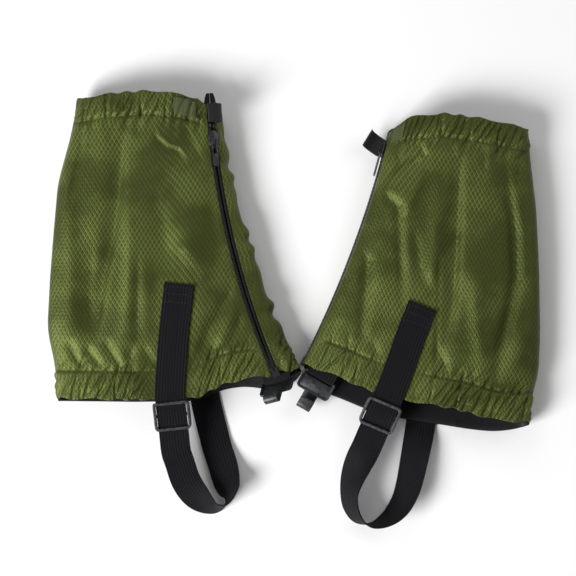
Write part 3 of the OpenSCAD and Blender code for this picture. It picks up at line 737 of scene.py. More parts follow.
def pile_material(name, colour, scale):
    """Hook or loop tape: a field of small round tufts, with a painted highlight on their tips and painted shade at
    their roots.
    """
    mat, t, p = material(name)
    tone = use(t, "tone", Scale=80.0)
    where = add(t, "ShaderNodeTexCoord").outputs["Object"]
    tufts = add(t, "ShaderNodeTexVoronoi", {"Vector": where, "Scale": scale}).outputs["Distance"]
    # Painted light and shade: lighter copy of the tape colour at the tufts' tips, darker copy at their roots.
    lit_tips, shaded_roots = tuple(1.5 * c for c in colour), tuple(0.5 * c for c in colour)
    t.links.new(mix_colour(t, ramp(t, tufts, 0.1, 0.6), lit_tips, shaded_roots), p.inputs["Base Color"])
    p.inputs["Roughness"].default_value = 0.85
    p.inputs["Sheen Weight"].default_value = 0.06
    p.inputs["Specular IOR Level"].default_value = 0.2
    n = bump(t, tufts, 0.00035, strength=-1.0)
    t.links.new(bump(t, tone.outputs[1], 0.00008, n), p.inputs["Normal"])
    return mat


def hard_material(name, colour, highlight_colour, rough, metallic=0.0, grain=0.00002):
    """Enamelled metal or moulded plastic, with a painted highlight in patches on its convex edges."""
    mat, t, p = material(name)
    tone, edge_glint = use(t, "tone", Scale=90.0), use(t, "edge_highlight", Sharp=0.56)
    base = mix_colour(t, ramp(t, tone.outputs[0], 0.3, 0.7), colour, tuple(1.35 * c for c in colour))
    # Painted highlight: convex edges blend toward a much lighter colour.
    edge_lit = mix_colour(t, calc(t, "MULTIPLY", edge_glint.outputs[0], 0.7), base, highlight_colour)
    t.links.new(edge_lit, p.inputs["Base Color"])
    t.links.new(ramp(t, tone.outputs[1], 0.2, 0.8, rough, rough + 0.14), p.inputs["Roughness"])
    p.inputs["Metallic"].default_value = metallic
    p.inputs["Coat Weight"].default_value = 0.12
    p.inputs["Coat Roughness"].default_value = 0.2
    t.links.new(bump(t, tone.outputs[1], grain, strength=0.6), p.inputs["Normal"])
    return mat


def thread_material(name, colour):
    """Sewing thread: a fine slanting twist, with painted shade in its grooves."""
    mat, t, p = material(name)
    weave = use(t, "webbing_weave", Rib=0.0004, Pick=0.0005)
    # Painted shade: the twist's grooves take a darker copy of the thread colour.
    twist = mix_colour(t, weave.outputs[0], tuple(0.6 * c for c in colour), colour)
    t.links.new(twist, p.inputs["Base Color"])
    p.inputs["Roughness"].default_value = 0.55
    t.links.new(bump(t, weave.outputs[0], 0.00006), p.inputs["Normal"])
    return mat


def floor_material(name):
    """Matt pale floor with a barely seen change of tone."""
    mat, t, p = material(name)
    tone = use(t, "tone", Scale=3.0)
    colour = mix_colour(t, tone.outputs[0], (0.88, 0.88, 0.88), (0.91, 0.91, 0.91))
    t.links.new(colour, p.inputs["Base Color"])
    p.inputs["Roughness"].default_value = 0.9
    p.inputs["Specular IOR Level"].default_value = 0.1
    t.links.new(bump(t, tone.outputs[1], 0.00005, strength=0.2), p.inputs["Normal"])
    return mat


# Each material's maker, and the colours and sizes that it takes after the name.
MAKERS = {
    "ripstop_green": (ripstop_material,),
    "lining_black": (lining_material,),
    # Woven makers take a painted shade colour and a painted highlight colour, then rib and pick sizes, bump depth
    # and roughness.
    "webbing_black": (woven_material, (0.0022, 0.0022, 0.003), (0.0075, 0.0075, 0.010),
                      0.0026, 0.0011, 0.00014, 0.5),
    "tape_black": (woven_material, (0.004, 0.004, 0.005), (0.009, 0.009, 0.0115),
                   0.0009, 0.0006, 0.00005, 0.55),
    "elastic_black": (woven_material, (0.004, 0.004, 0.005), (0.010, 0.010, 0.012),
                      0.0016, 0.0010, 0.0001, 0.75),
    # Pile makers take the tape colour, painted lighter at the tufts' tips and darker at their roots, and the tuft
    # scale.
    "hook_tape": (pile_material, (0.008, 0.008, 0.011), 1500.0),
    "loop_tape": (pile_material, (0.046, 0.056, 0.014), 1100.0),
    # Hard makers take the colour, a painted edge highlight colour, roughness and metallic.
    "coil_nylon": (hard_material, (0.005, 0.005, 0.006), (0.015, 0.015, 0.017), 0.34),
    "zip_enamel": (hard_material, (0.009, 0.009, 0.011), (0.07, 0.07, 0.08), 0.3, 0.2),
    "adjuster_satin": (hard_material, (0.017, 0.018, 0.021), (0.12, 0.125, 0.135), 0.36, 0.3),
    "hook_satin": (hard_material, (0.008, 0.0085, 0.0105), (0.055, 0.057, 0.063), 0.36, 0.2),
    "thread_green": (thread_material, (0.050, 0.058, 0.020)),
    "thread_black": (thread_material, (0.014, 0.014, 0.017)),
    "floor_pale": (floor_material,),
}


def look(name):
    """A material by name, made the first time it is asked for."""
    if not bpy.data.node_groups.get("tone"):
        make_groups()
    maker, *values = MAKERS[name]
    return bpy.data.materials.get(name) or maker(name, *values)


# ---------------------------------------------------------------- cloth

def cloth_grid(s, kind, t, depth, cols):
    """A layer of the tube: its evened and softened rows, and how far each point is from the
    boot-end edge and from the knee-end edge."""
    base = relax(even(rows_of(s, t, np.full(len(t), depth), kind), cols), SOFTEN)
    run = np.linalg.norm(np.diff(base, axis=0), axis=2).sum(0) / (t[-1] - t[0])
    return base, t[:, None] * run, (1 - t[:, None]) * run


def cloth_uv(base, low, middle=None):
    """Cloth coordinates: distance round the row, from its start or from where it crosses the
    middle of the panel, and distance up the leg."""
    girth, x = travelled(base), base[..., 0]
    if middle is not None:
        edge = 8
        near = np.abs(x - middle)[:, edge:-edge].argmin(1) + edge
        rows = np.arange(len(base))
        slope = (x[rows, near + 1] - x[rows, near - 1]) / (girth[rows, near + 1] - girth[rows, near - 1])
        girth = girth - (girth[rows, near] + (middle - x[rows, near]) / slope)[:, None]
    return np.stack([girth, np.broadcast_to(low, girth.shape)], -1)


HEM_LOW = 23.5
HEM_TOP = 19.5
LEG = 250.0
GRID_MIDDLE = -118.0
SOFTEN = 10
INNER_RELIEF = 0.3


def layer_relief(s, base, n, low, high, props):
    """Relief of a hidden layer: the outer cloth's, held below a small height."""
    return np.minimum(relief(s, base, n, low, high, props, HEM_LOW, HEM_TOP), INNER_RELIEF)[..., None]


def panel(s, kind, props):
    """A ripstop panel: the wall with its relief, both hems and all edges turned under."""
    rows, cols = props.cloth_rows, props.cloth_rows + 10
    t = np.linspace(0.0008, 0.9992, rows)
    base, low, high = cloth_grid(s, kind, t, 0.0, cols)
    n = -normals(base)
    shift = n * relief(s, base, n, low, high, props, HEM_LOW, HEM_TOP)[..., None]
    scallop = 1.1 * np.sin(base[..., 0] / 3.1 + 1.7 * np.sin(base[..., 0] / 11)) * props.pucker_depth
    shift[..., 1] += scallop * (0.5 * np.exp(-low / 5) - 0.4 * np.exp(-high / 5))
    outer = base + shift
    # Height share and depth of the turned-under edge, from its raw end out to the fold.
    under = np.array([[0.030, 1.3], [0.020, 1.35], [0.010, 1.35], [0.003, 1.3],
                      [-0.0006, 1.1], [-0.0018, 0.7], [-0.0008, 0.22]])
    back = under[::-1]
    low_turn = relax(even(rows_of(s, under[:, 0], under[:, 1], kind), cols), SOFTEN) + shift[:1]
    top_turn = relax(even(rows_of(s, 1 - back[:, 0], back[:, 1], kind), cols), SOFTEN) + shift[-1:]
    p = np.concatenate([low_turn, outer, top_turn])
    v = np.concatenate([-under[:, :1] * LEG * np.ones(cols), low, low[-1:] + back[:, :1] * LEG])
    turned_n = -normals(p)
    first = 0 if kind == "far" else cols - 1
    inner = 3 if kind == "far" else cols - 4
    toward = unit(p[:, inner] - p[:, first])
    lips = np.stack([p[:, first] + toward * (inward - 0.25) - turned_n[:, first] * drop
                     for drop, inward in ((0.25, 0.0), (0.7, 0.25), (1.1, 1.0), (1.15, 3.0))], 1)
    p = np.concatenate([lips[:, ::-1], p], 1) if kind == "far" else np.concatenate([p, lips], 1)
    uv = cloth_uv(p, np.zeros((len(p), 1)), GRID_MIDDLE)
    pad = np.repeat(v[:, first:first + 1], lips.shape[1], 1)
    uv[..., 1] = np.concatenate([pad, v], 1) if kind == "far" else np.concatenate([v, pad], 1)
    soup = Soup()
    soup.add(p, grid_faces(*p.shape[:2]), uv)
    return soup, outer, -normals(outer), low, high, base


def hem_stitches(outer, n, low, high, skip):
    """Rows of thread where each hem is sewn down, and beside the zip."""
    soup = Soup()
    cols = np.arange(outer.shape[1])
    for dist, hem in ((low, HEM_LOW), (high, HEM_TOP)):
        at = np.abs(dist - hem).argmin(0)
        line, nl = outer[at, cols], n[at, cols]
        keep = slice(4, -4)
        stitches(soup, relax(line[None, keep].copy(), 2)[0], nl[keep])
    rows = slice(6, -6)
    stitches(soup, outer[rows, skip], n[rows, skip])
    return soup


class GAITERS_OT_panels(bpy.types.Operator):
    """Ripstop outer and inner panels of both gaiters, with gathered hems and their stitching"""
    bl_idname = "gaiters.panels"
    bl_label = "Ripstop panels"

    def execute(self, context):
        props = context.scene.gaiter_settings
        for s, side in enumerate(SIDES):
            for kind, node, skip in (("near", "outer_panel", -3), ("far", "inner_panel", 2)):
                soup, outer, n, low, high, base = panel(s, kind, props)
                piece = soup.mesh(f"{side}_{node}_cloth", s)
                finish_piece(piece, side, "gaiter", "ripstop", look("ripstop_green"), node)
                thread = hem_stitches(outer, n, low, high, skip).mesh(f"{side}_{node}_stitching", s)
                finish_piece(thread, side, "gaiter", "ripstop", look("thread_green"))
        return {"FINISHED"}


class GAITERS_OT_linings(bpy.types.Operator):
    """Black inner cloth that shows at the boot-end lip, and the elastic in both hems"""
    bl_idname = "gaiters.linings"
    bl_label = "Linings and elastic"

    def execute(self, context):
        props = context.scene.gaiter_settings
        for s, side in enumerate(SIDES):
            self.lining(s, side, props)
            for node, t0, t1 in (("top_elastic", 0.932, 0.996), ("boot_elastic", 0.004, 0.092)):
                t = np.linspace(t0, t1, 18)
                base, low, high = cloth_grid(s, "round", t, SHELL_T + 0.7, 240)
                n = -normals(base)
                p = base + n * layer_relief(s, base, n, low, high, props)
                soup = Soup()
                soup.add(p, grid_faces(*p.shape[:2]), cloth_uv(base, low)[..., ::-1])
                piece = soup.mesh(f"{side}_{node}_band", s)
                finish_piece(piece, side, "gaiter", "elastic", look("elastic_black"), node)
        return {"FINISHED"}

    def lining(self, s, side, props):
        """The wall 2.55 mm inside the cloth; its lower edge hangs out on top and is turned in."""
        cols = 260
        t = np.linspace(-0.004, 0.98, 110)
        base, low, high = cloth_grid(s, "round", t, 2.55, cols)
        low = np.maximum(low, 0)
        n = -normals(base)
        shift = n * layer_relief(s, base, n, low, high, props)
        top = step(n[..., 2], -0.2, 0.3)
        p = base + shift
        p[..., 1] += 5.0 * top * np.exp(-low / 6)
        edge = np.array([[0.004, -0.15], [-0.006, -0.12], [-0.0112, 0.3],
                         [-0.0122, 1.0], [-0.011, 1.8], [-0.0085, 2.3]])
        rim = relax(even(rows_of(s, edge[:, 0], edge[:, 1], "round"), cols), SOFTEN) + shift[:1]
        tuck = p[:1] + np.array([0, 1.0, 0]) * np.arange(len(edge), 0, -1)[:, None, None]
        w = top[:1, :, None]
        rim = rim * (1 - w) + tuck * w
        rim[..., 2] = np.maximum(rim[..., 2], 0.2)
        p = np.concatenate([rim, p])
        uv = cloth_uv(p, np.zeros((len(p), 1)))
        uv[..., 1] = np.r_[-np.arange(len(edge), 0, -1.0), t * LEG][:, None]
        soup = Soup()
        soup.add(p, grid_faces(*p.shape[:2]), uv)
        piece = soup.mesh(f"{side}_lining_cloth", s)
        finish_piece(piece, side, "gaiter", "lining", look("lining_black"), "lining")


# ---------------------------------------------------------------- zips

def zip_point(s, g, w, z):
    """A point beside the zip: w across it and z out of it, at an angle of its arc."""
    g, tilt = np.radians(g), math.radians(ZIP_TILT[s])
    r = ZIP_R[s] - w * math.cos(tilt) - z * math.sin(tilt)
    h = ZIP_Z[s] - w * math.sin(tilt) + z * math.cos(tilt)
    return np.stack(np.broadcast_arrays(ZIP_C[s][0] + r * np.cos(g), ZIP_C[s][1] + r * np.sin(g), h), -1)


def zip_turn(s, length):
    """Angle of the zip's arc over a length: the length divided by the radius."""
    return math.degrees(length / ZIP_R[s])


class GAITERS_OT_zips(bpy.types.Operator):
    """Zip tapes, rows of coil, stops, box, slider and pull of both gaiters"""
    bl_idname = "gaiters.zips"
    bl_label = "Front zips"

    def execute(self, context):
        props = context.scene.gaiter_settings
        for s, side in enumerate(SIDES):
            for way, name in ((-1, "outer"), (1, "inner")):
                self.tape(s, side, way, name)
                self.coil(s, side, way, name, props.tooth_pitch)
            for node, finish in (("zip_top_stops", "zip_enamel"), ("zip_box", "coil_nylon")):
                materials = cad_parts[f"{side}_{node}"].data.materials
                materials.clear()
                materials.append(look(finish))
            self.slider(s, side)
            self.pull(s, side)
        return {"FINISHED"}

    def tape(self, s, side, way, name):
        """A flat band beside the coil, which narrows by a falling exponential to its upper end."""
        over = (9, 2)[s]
        g = np.linspace(ZIP_LOW[s] + zip_turn(s, 2), ZIP_TOP[s] - zip_turn(s, over), 200)
        left = (g - g[-1]) / zip_turn(s, 1)
        narrow = 5.2 - 2.6 * np.exp(-np.maximum(left, 0) / 4.5) * (1 if s == 0 else 0.5)
        start = 0.8 - 0.68 * step(-left, -14.0, -6.0)
        w = start[:, None] + np.linspace(0, 1, 9)[None] * narrow[:, None]
        wave = 0.06 * np.sin(w * 6.0)
        top = zip_point(s, g[:, None], way * w, -1.0 + wave * 0.5)
        low = zip_point(s, g[:, None], way * w[:, ::-1], -1.33)
        p = np.concatenate([top, low], 1)
        m, n = p.shape[:2]
        uv = np.stack(np.broadcast_arrays(np.r_[0:9, 8:-1:-1] * 0.65, left[:, None]), -1)
        soup = Soup()
        soup.add(p, tube_faces(m, n, flip=way < 0), uv)
        piece = soup.mesh(f"{side}_zip_tape_{name}_weave", s)
        finish_piece(piece, side, "gaiter", "zip_tape", look("tape_black"), f"zip_tape_{name}")

    def coil(self, s, side, way, name, pitch):
        """Each coil turn is a bar with a swollen head at the middle of the zip."""
        g = np.arange(ZIP_LOW[s] - zip_turn(s, 6), SLIDER_A[s] - zip_turn(s, 9), -zip_turn(s, pitch))
        if way > 0:
            g = g - zip_turn(s, pitch / 2)
        rings, sides = 7, 8
        u = np.linspace(0, 1, rings)
        w = 0.58 + 2.28 * u
        fat = np.sqrt(np.clip(np.sin(math.pi * (0.1 + 0.8 * u)), 0, 1)) * (1.15 - 0.35 * u)
        q = np.linspace(0, 2 * math.pi, sides, endpoint=False)
        across = way * (w[None, :, None] + 0 * q)
        up = -0.05 + 0.84 * fat[None, :, None] * np.sin(q)
        lean = g[:, None, None] + zip_turn(s, 0.46) * fat[None, :, None] * np.cos(q)
        p = zip_point(s, lean, across, up)
        soup = Soup()
        base = tube_faces(rings, sides, flip=way > 0)
        for block in p:
            soup.add(block, base)
        piece = soup.mesh(f"{side}_zip_coil_{name}_teeth", s)
        finish_piece(piece, side, "gaiter", "zip_coil", look("coil_nylon"), f"zip_coil_{name}")

    def slider(self, s, side):
        """Shield-shaped plates with rounded rims, side flanges and an arched bridge."""
        origin, m = at_zip(s, SLIDER_A[s])
        soup = Soup()
        for wide, z0, z1 in ((8.6, 1.2, 2.2), (8.0, -2.65, -1.65)):
            h = wide / 2
            shield = [(h - 2.6, 6.4), (h - 0.6, 3.6), (h, 2.2), (h - 0.2, -3.5), (h - 1.0, -5.8),
                      (h - 2.0, -6.4)]
            outline = [(-x, y) for x, y in shield] + shield[::-1]
            soup.put(prism(outline, z0, z1, 0.32), origin, m)
        post = [(-0.5, 3.0), (0.5, 3.0), (0.5, 6.0), (-0.5, 6.0)]
        soup.put(prism(post, -2.2, 1.6, 0.1), origin, m)
        a = np.linspace(0, math.pi, 15)
        line = np.stack([0 * a, 4.1 * np.cos(a), 2.0 + 2.3 * np.sin(a) ** 0.6], 1)
        across = steady((1, 0, 0), line)
        bridge = sweep(line, across, np.cross(headings(line), across), section(1.6, 0.9, 0.25))
        soup.put(bridge, origin, m)
        piece = soup.mesh(f"{side}_zip_slider_body", s)
        finish_piece(piece, side, "slider", "zip_metal", look("zip_enamel"), "zip_slider")

    def pull(self, s, side):
        """A ring-ended pull: cross pin, two arms, and a thin tab inside a raised rim."""
        origin, m = at_zip(s, SLIDER_A[s])
        origin = origin + m @ np.array([0, -1, 3.0])
        soup = Soup()
        arm, end, thin = 1.85, -20.0, 1.5
        line = np.array([[-2.4, 0, 0], [-0.8, 0, 0], [0.8, 0, 0], [2.4, 0, 0]])
        soup.put(sweep(line, steady((0, 1, 0), line), steady((0, 0, 1), line), disc(0.5, 12)), origin, m)
        for x in (-arm, arm):
            bar = [(x - 0.55, -7.2), (x + 0.55, -7.2), (x + 0.55, 0.4), (x - 0.55, 0.4)]
            soup.put(prism(bar, -0.5, 0.5, 0.2), origin, m)
        a = np.linspace(0, math.pi, 17)
        rim = flat_at([*zip(-arm * np.cos(a), end - arm * np.sin(a)),
                       (arm, -13), (1.7, -6.6), (-1.7, -6.6), (-arm, -13)])
        up = steady((0, 0, 1), rim)
        ring = sweep(rim, np.cross(headings(rim, closed=True), up), up, section(1.05, 1.0, 0.3), closed=True)
        soup.put(ring, origin, m)
        plate = [*zip(thin * np.cos(-a[::-1]), end + thin * np.sin(-a[::-1])), (thin, -12), (-thin, -12)]
        soup.put(prism(plate, -0.22, 0.22, 0.05), origin, m)
        piece = soup.mesh(f"{side}_zip_pull_tab", s)
        finish_piece(piece, side, "pull", "zip_metal", look("zip_enamel"), "zip_pull")


# ---------------------------------------------------------------- tabs

class GAITERS_OT_tabs(bpy.types.Operator):
    """Hook-tape closure tabs over the zips, and the loop patches that they close on"""
    bl_idname = "gaiters.tabs"
    bl_label = "Closure tabs"

    def execute(self, context):
        props = context.scene.gaiter_settings
        for s, side in enumerate(SIDES):
            self.tab(s, side)
            self.patch(s, side, props)
        return {"FINISHED"}

    def tab(self, s, side):
        """A curled slab with rounded rims, sewn round its border."""
        origin, m = at_zip(s, TAB_A[s])
        origin = origin + m @ np.array([7.4, 0, 1.1])
        m = m @ turn("x", TAB_SKEW[s])
        curl, border, skin = 17.7, 5.9, 0.66
        sewing = (1.8, 0.7, 0.16)
        a = np.radians(np.linspace(0, 78, 40))
        radius = curl + 0.5 * np.sin(a * 2.4) ** 2
        line = np.stack([-17 + radius * np.cos(a), 0 * a, radius * np.sin(a)], 1)
        up = np.stack([np.cos(a), 0 * a, np.sin(a)], 1)
        out = section(15.5, 1.3, 0.5, 4, 6, 0.05)
        uv = np.stack(np.broadcast_arrays(out[None, :, 0], a[:, None] * curl), -1)
        soup, thread = Soup(), Soup()
        soup.put(sweep(line, steady((0, -1, 0), line), up, out), origin, m, uv)
        for y in (-border, border):
            edge = line + up * skin + np.array([0, y, 0])
            stitches(thread, moved(edge[3:-3], origin, m), up[3:-3] @ m.T, *sewing)
        for k in (2, 37):
            edge = line[k] + up[k] * skin + np.linspace(-border, border, 12)[:, None] * np.array([0, 1, 0])
            stitches(thread, moved(edge, origin, m), steady(up[k] @ m.T, edge), *sewing)
        piece = soup.mesh(f"{side}_closure_tab_tape", s)
        finish_piece(piece, side, "tab", "hook_tape", look("hook_tape"), "closure_tab")
        sewn = thread.mesh(f"{side}_closure_tab_stitching", s)
        finish_piece(sewn, side, "tab", "hook_tape", look("thread_black"))
        self.root(s, side, origin, m)

    def root(self, s, side, tab_origin, tab_m):
        """The strip that sews the tab down: straight lines from the hidden panel beside the zip to
        the tab's hinge line, 1.2 mm thick, on the gaiter so that it stays put as the tab folds."""
        origin, m = at_zip(s, TAB_A[s])
        y = np.linspace(-7.7, 7.7, 13)
        sewn_end = moved(np.stack([0 * y + 3.4, y, 0 * y - 0.5], 1), origin, m)
        hinge_end = moved(np.stack([0 * y + 0.7, y, 0 * y + 0.3], 1), tab_origin, tab_m)
        q = np.linspace(0, 1, 9)[:, None, None]
        mid = (1 - q) * sewn_end + q * hinge_end
        off = 0.6 * m[:, 2]
        p = np.concatenate([mid + off, (mid - off)[:, ::-1]], 1)
        faces = tube_faces(*p.shape[:2])
        core = p[len(p) // 2].mean(0)
        a, b, c = (p.reshape(-1, 3)[i] for i in faces[len(faces) // 2][:3])
        if np.cross(b - a, c - a) @ (a - core) < 0:
            faces = [f[::-1] for f in faces]
        soup = Soup()
        soup.add(p, faces)
        piece = soup.mesh(f"{side}_closure_tab_root", s)
        finish_piece(piece, side, "gaiter", "hook_tape", look("tape_black"))

    def patch(self, s, side, props):
        """A piece of the wall beside the zip, raised over the cloth's relief, its rim turned down."""
        t = np.linspace(0.93, 0.99, 20)[:, None]
        a0 = edge_angle(s, t, -9.5 * math.cos(math.radians(ZIP_TILT[s])) - 3)
        base = wall_round(s, t, 0.0, a0 + 20 * np.linspace(1, 0, 30)[None])
        n = -normals(base)
        run = np.linalg.norm(np.diff(base, axis=0), axis=2).sum(0) / (t[-1] - t[0])
        rise = relief(s, base, n, t * run, (1 - t) * run, props, HEM_LOW, HEM_TOP)[..., None]
        pile = np.random.default_rng(5).uniform(0, 0.12, (*base.shape[:2], 1))
        p = np.pad(base + n * (rise - 0.1), ((1, 1), (1, 1), (0, 0)), "edge")
        p[1:-1, 1:-1] = base + n * (rise + 0.75 + pile)
        soup = Soup()
        soup.add(p, grid_faces(*p.shape[:2]), cloth_uv(p, np.zeros((len(p), 1))))
        piece = soup.mesh(f"{side}_loop_patch_pile", s)
        finish_piece(piece, side, "gaiter", "loop_tape", look("loop_tape"), "loop_patch")


# ---------------------------------------------------------------- webbing and adjusters

def strap_path(s):
    """Stations of the whole strap: over the outer cloth, through the adjuster, round the loop."""
    yaw = math.radians(BUCKLE_YAW[s])
    b = BUCKLE[s]
    down = (math.cos(SLOPE) * math.sin(yaw), -math.cos(SLOPE) * math.cos(yaw), -math.sin(SLOPE))
    mid = [(*(c + l * d for c, d in zip(b, down)), 0) for l in (-12.5, 0, 16, 31)]
    return catmull([*STRAP_TOP[s], *mid, *STRAP_LOOP[s]], 10)


class GAITERS_OT_straps(bpy.types.Operator):
    """Ribbed instep webbing with its sewn ends, and the webbing loops of the lace hooks"""
    bl_idname = "gaiters.straps"
    bl_label = "Webbing"

    def execute(self, context):
        for s, side in enumerate(SIDES):
            self.strap(s, side)
            self.loop(s, side)
        return {"FINISHED"}

    def strap(self, s, side):
        """The webbing's ribbed outline carried along its stations, flat where its roll is 0."""
        st = strap_path(s)
        line, roll = st[:, :3].copy(), np.radians(st[:, 3])
        run = headings(line)
        flat = unit(np.stack([-run[:, 1], run[:, 0], 0 * run[:, 0]], 1))
        up = np.cross(run, flat)
        across = flat * np.cos(roll)[:, None] + up * np.sin(roll)[:, None]
        face = np.cross(run, across)
        dist = travelled(line)
        near = np.hypot(line[:, 0] - BUCKLE[s][0], line[:, 1] - BUCKLE[s][1])
        line[:, 2] += 0.9 * np.exp(-(near / 5.5) ** 4) * (dist < 200)
        out = section(WEB_W, WEB_T, 0.5, 4, 10, 0.2)
        pts, faces = sweep(line, across, face, out)
        uv = np.stack(np.broadcast_arrays(out[None, :, 0] + 13, dist[:, None]), -1)
        soup, thread = Soup(), Soup()
        soup.add(pts, faces, uv)
        top = line + face * (WEB_T / 2)
        border, sewing = 10.5, (1.9, 0.8, 0.2, 0.0)
        for row in (2.5, 9.0, 15.5):
            k = int(np.abs(dist - row).argmin())
            edge = top[k] + np.linspace(-border, border, 16)[:, None] * across[k]
            stitches(thread, edge, steady(face[k], edge), *sewing)
        for w in (-border, border):
            stitches(thread, (top + w * across)[2:16], face[2:16], *sewing)
        piece = soup.mesh(f"{side}_instep_strap_webbing", s)
        finish_piece(piece, side, "gaiter", "webbing", look("webbing_black"), "instep_strap")
        sewn = thread.mesh(f"{side}_instep_strap_stitching", s)
        finish_piece(sewn, side, "gaiter", "webbing", look("thread_black"))

    def loop(self, s, side):
        """Webbing folded round the hook's bar: two leaves and a half turn between them."""
        m = turn("z", HOOK_YAW[s]) @ turn("y", HOOK_ROLL[s]) @ turn("x", LEAF_PITCH[s])
        leaf, r = (6.0, 10.0)[s], 1.2 + 0.3 + 0.6
        a = np.radians(np.linspace(90, 270, 17))
        yz = np.array([*((y, r) for y in np.linspace(leaf, 1, 5)), *zip(r * np.cos(a), r * np.sin(a)),
                       *((y, -r) for y in np.linspace(1, leaf, 5))])
        line = np.c_[0 * yz[:, 0], yz]
        across = steady((1, 0, 0), line)
        width = WEB_W - 0.2
        out = section(width, 1.1, 0.4, 4, 10, 0.15)
        dist = travelled(line)
        uv = np.stack(np.broadcast_arrays(out[None, :, 0] + 13, dist[:, None]), -1)
        soup = Soup()
        soup.put(sweep(line, across, np.cross(headings(line), across), out), np.array(HOOK[s]), m, uv)
        piece = soup.mesh(f"{side}_hook_webbing_loop", s)
        finish_piece(piece, side, "gaiter", "webbing", look("webbing_black"), "hook_webbing")


def rounded_path(w, h, r, k=8, straight=6):
    """Closed path round a w by h rectangle with corners of radius r."""
    pts = []
    for cx, cy, a in ((1, 1, 0), (-1, 1, 90), (-1, -1, 180), (1, -1, 270)):
        q = np.radians(a + np.linspace(0, 90, k))
        arc = np.stack([cx * (w / 2 - r) + r * np.cos(q), cy * (h / 2 - r) + r * np.sin(q)], 1)
        if pts:
            pts.append(pts[-1][-1] + (arc[0] - pts[-1][-1]) * np.linspace(0, 1, straight)[1:-1, None])
        pts.append(arc)
    pts.append(pts[-1][-1] + (pts[0][0] - pts[-1][-1]) * np.linspace(0, 1, straight)[1:-1, None])
    return np.concatenate(pts)


class GAITERS_OT_hardware(bpy.types.Operator):
    """Three-bar strap adjusters and lace hooks, with bevelled bars"""
    bl_idname = "gaiters.hardware"
    bl_label = "Adjusters and lace hooks"

    def execute(self, context):
        for s, side in enumerate(SIDES):
            self.adjuster(s, side)
            self.hook(s, side)
        return {"FINISHED"}

    def adjuster(self, s, side):
        """A ring whose bars pass over the webbing and whose rails stand beside it, and a middle
        bar underneath."""
        m = turn("z", BUCKLE_YAW[s]) @ turn("x", math.degrees(SLOPE))
        bar_w, crown = 2.8, 2.8
        path = rounded_path(28.4, 22.2, 2.6, 9, 8)
        run = headings(path, closed=True)
        side_on = step(np.abs(path[:, 0]), 12.6, 13.8)
        low = 1.02 - 3.8 * side_on
        out = section(bar_w, 1.0, 0.3, 4) + (0, 0.5)
        ring = np.stack([run[:, 1], -run[:, 0]], 1)
        rise = out[None, :, 1]
        z = np.where(rise > 0.5, crown - 1 + rise, low[:, None] + rise)
        chamfer = np.where(z > 2.2, 0.82, 1.0)
        xy = path[:, None] + ring[:, None] * (out[None, :, :1] * chamfer[..., None])
        pts = np.concatenate([xy, z[..., None]], -1)
        k, n = pts.shape[:2]
        faces = grid_faces(k, n, closed=True, flip=True).tolist()
        faces += [[(k - 1) * n + j, j, (j + 1) % n, (k - 1) * n + (j + 1) % n] for j in range(n)]
        origin, soup = np.array(BUCKLE[s]), Soup()
        soup.put((pts.reshape(-1, 3), faces), origin, m)
        line = np.array([(x, 0, -1.92) for x in np.linspace(-14, 14, 6)])
        middle_bar = section(bar_w, 1.76, 0.7)
        soup.put(sweep(line, steady((0, 1, 0), line), steady((0, 0, 1), line), middle_bar), origin, m)
        piece = soup.mesh(f"{side}_strap_adjuster_frame", s)
        finish_piece(piece, side, "adjuster", "adjuster", look("adjuster_satin"), "strap_adjuster")

    def hook(self, s, side):
        """A rounded ring with a pressed plate in it and a slot at its hinge bar, and a flat tongue
        that curls back over itself."""
        m = turn("z", HOOK_YAW[s]) @ turn("y", HOOK_ROLL[s]) @ turn("x", HOOK_PITCH[s])
        o = np.array(HOOK[s])
        soup = Soup()
        deep, curl = 15.6, 3.5
        line = flat_at(rounded_path(27.8, deep, 2.2, 8, 6) + (0, -deep / 2))
        run = headings(line, closed=True)
        out_of_ring = np.stack([run[:, 1], -run[:, 0], 0 * run[:, 0]], 1)
        ring = sweep(line, out_of_ring, steady((0, 0, 1), line), section(2.2, 2.0, 0.55), closed=True)
        soup.put(ring, o, m)
        bar = np.array([(x, 0, 0) for x in np.linspace(-14, 14, 8)])
        soup.put(sweep(bar, steady((0, 1, 0), bar), steady((0, 0, 1), bar), disc(1.18, 16)), o, m)
        half_plate = [(13.6, -deep), (13.6, -3.1), (11.4, -3.1), (10.6, -3.7)]
        plate = [(-13.6, -deep), *half_plate, *((-x, y) for x, y in half_plate[:0:-1])]
        soup.put(prism(plate, -1.0, 0.2, 0.3), o, m)
        a = np.radians(np.linspace(-90, 90, 17))
        yz = np.array([*((y, -0.3) for y in np.linspace(-deep, -26.4, 8)),
                       *zip(-26.8 - curl * np.cos(a), 3.2 + curl * np.sin(a)),
                       *((y, 6.7) for y in np.linspace(-26.0, -20.4, 5))])
        line = np.c_[0 * yz[:, 0], yz]
        across = steady((1, 0, 0), line)
        tongue = sweep(line, across, np.cross(headings(line), across), section(12.5, 1.36, 0.4))
        soup.put(tongue, o, m)
        piece = soup.mesh(f"{side}_lace_hook_ring", s)
        finish_piece(piece, side, "hook", "hook_metal", look("hook_satin"), "lace_hook")


# ---------------------------------------------------------------- stage

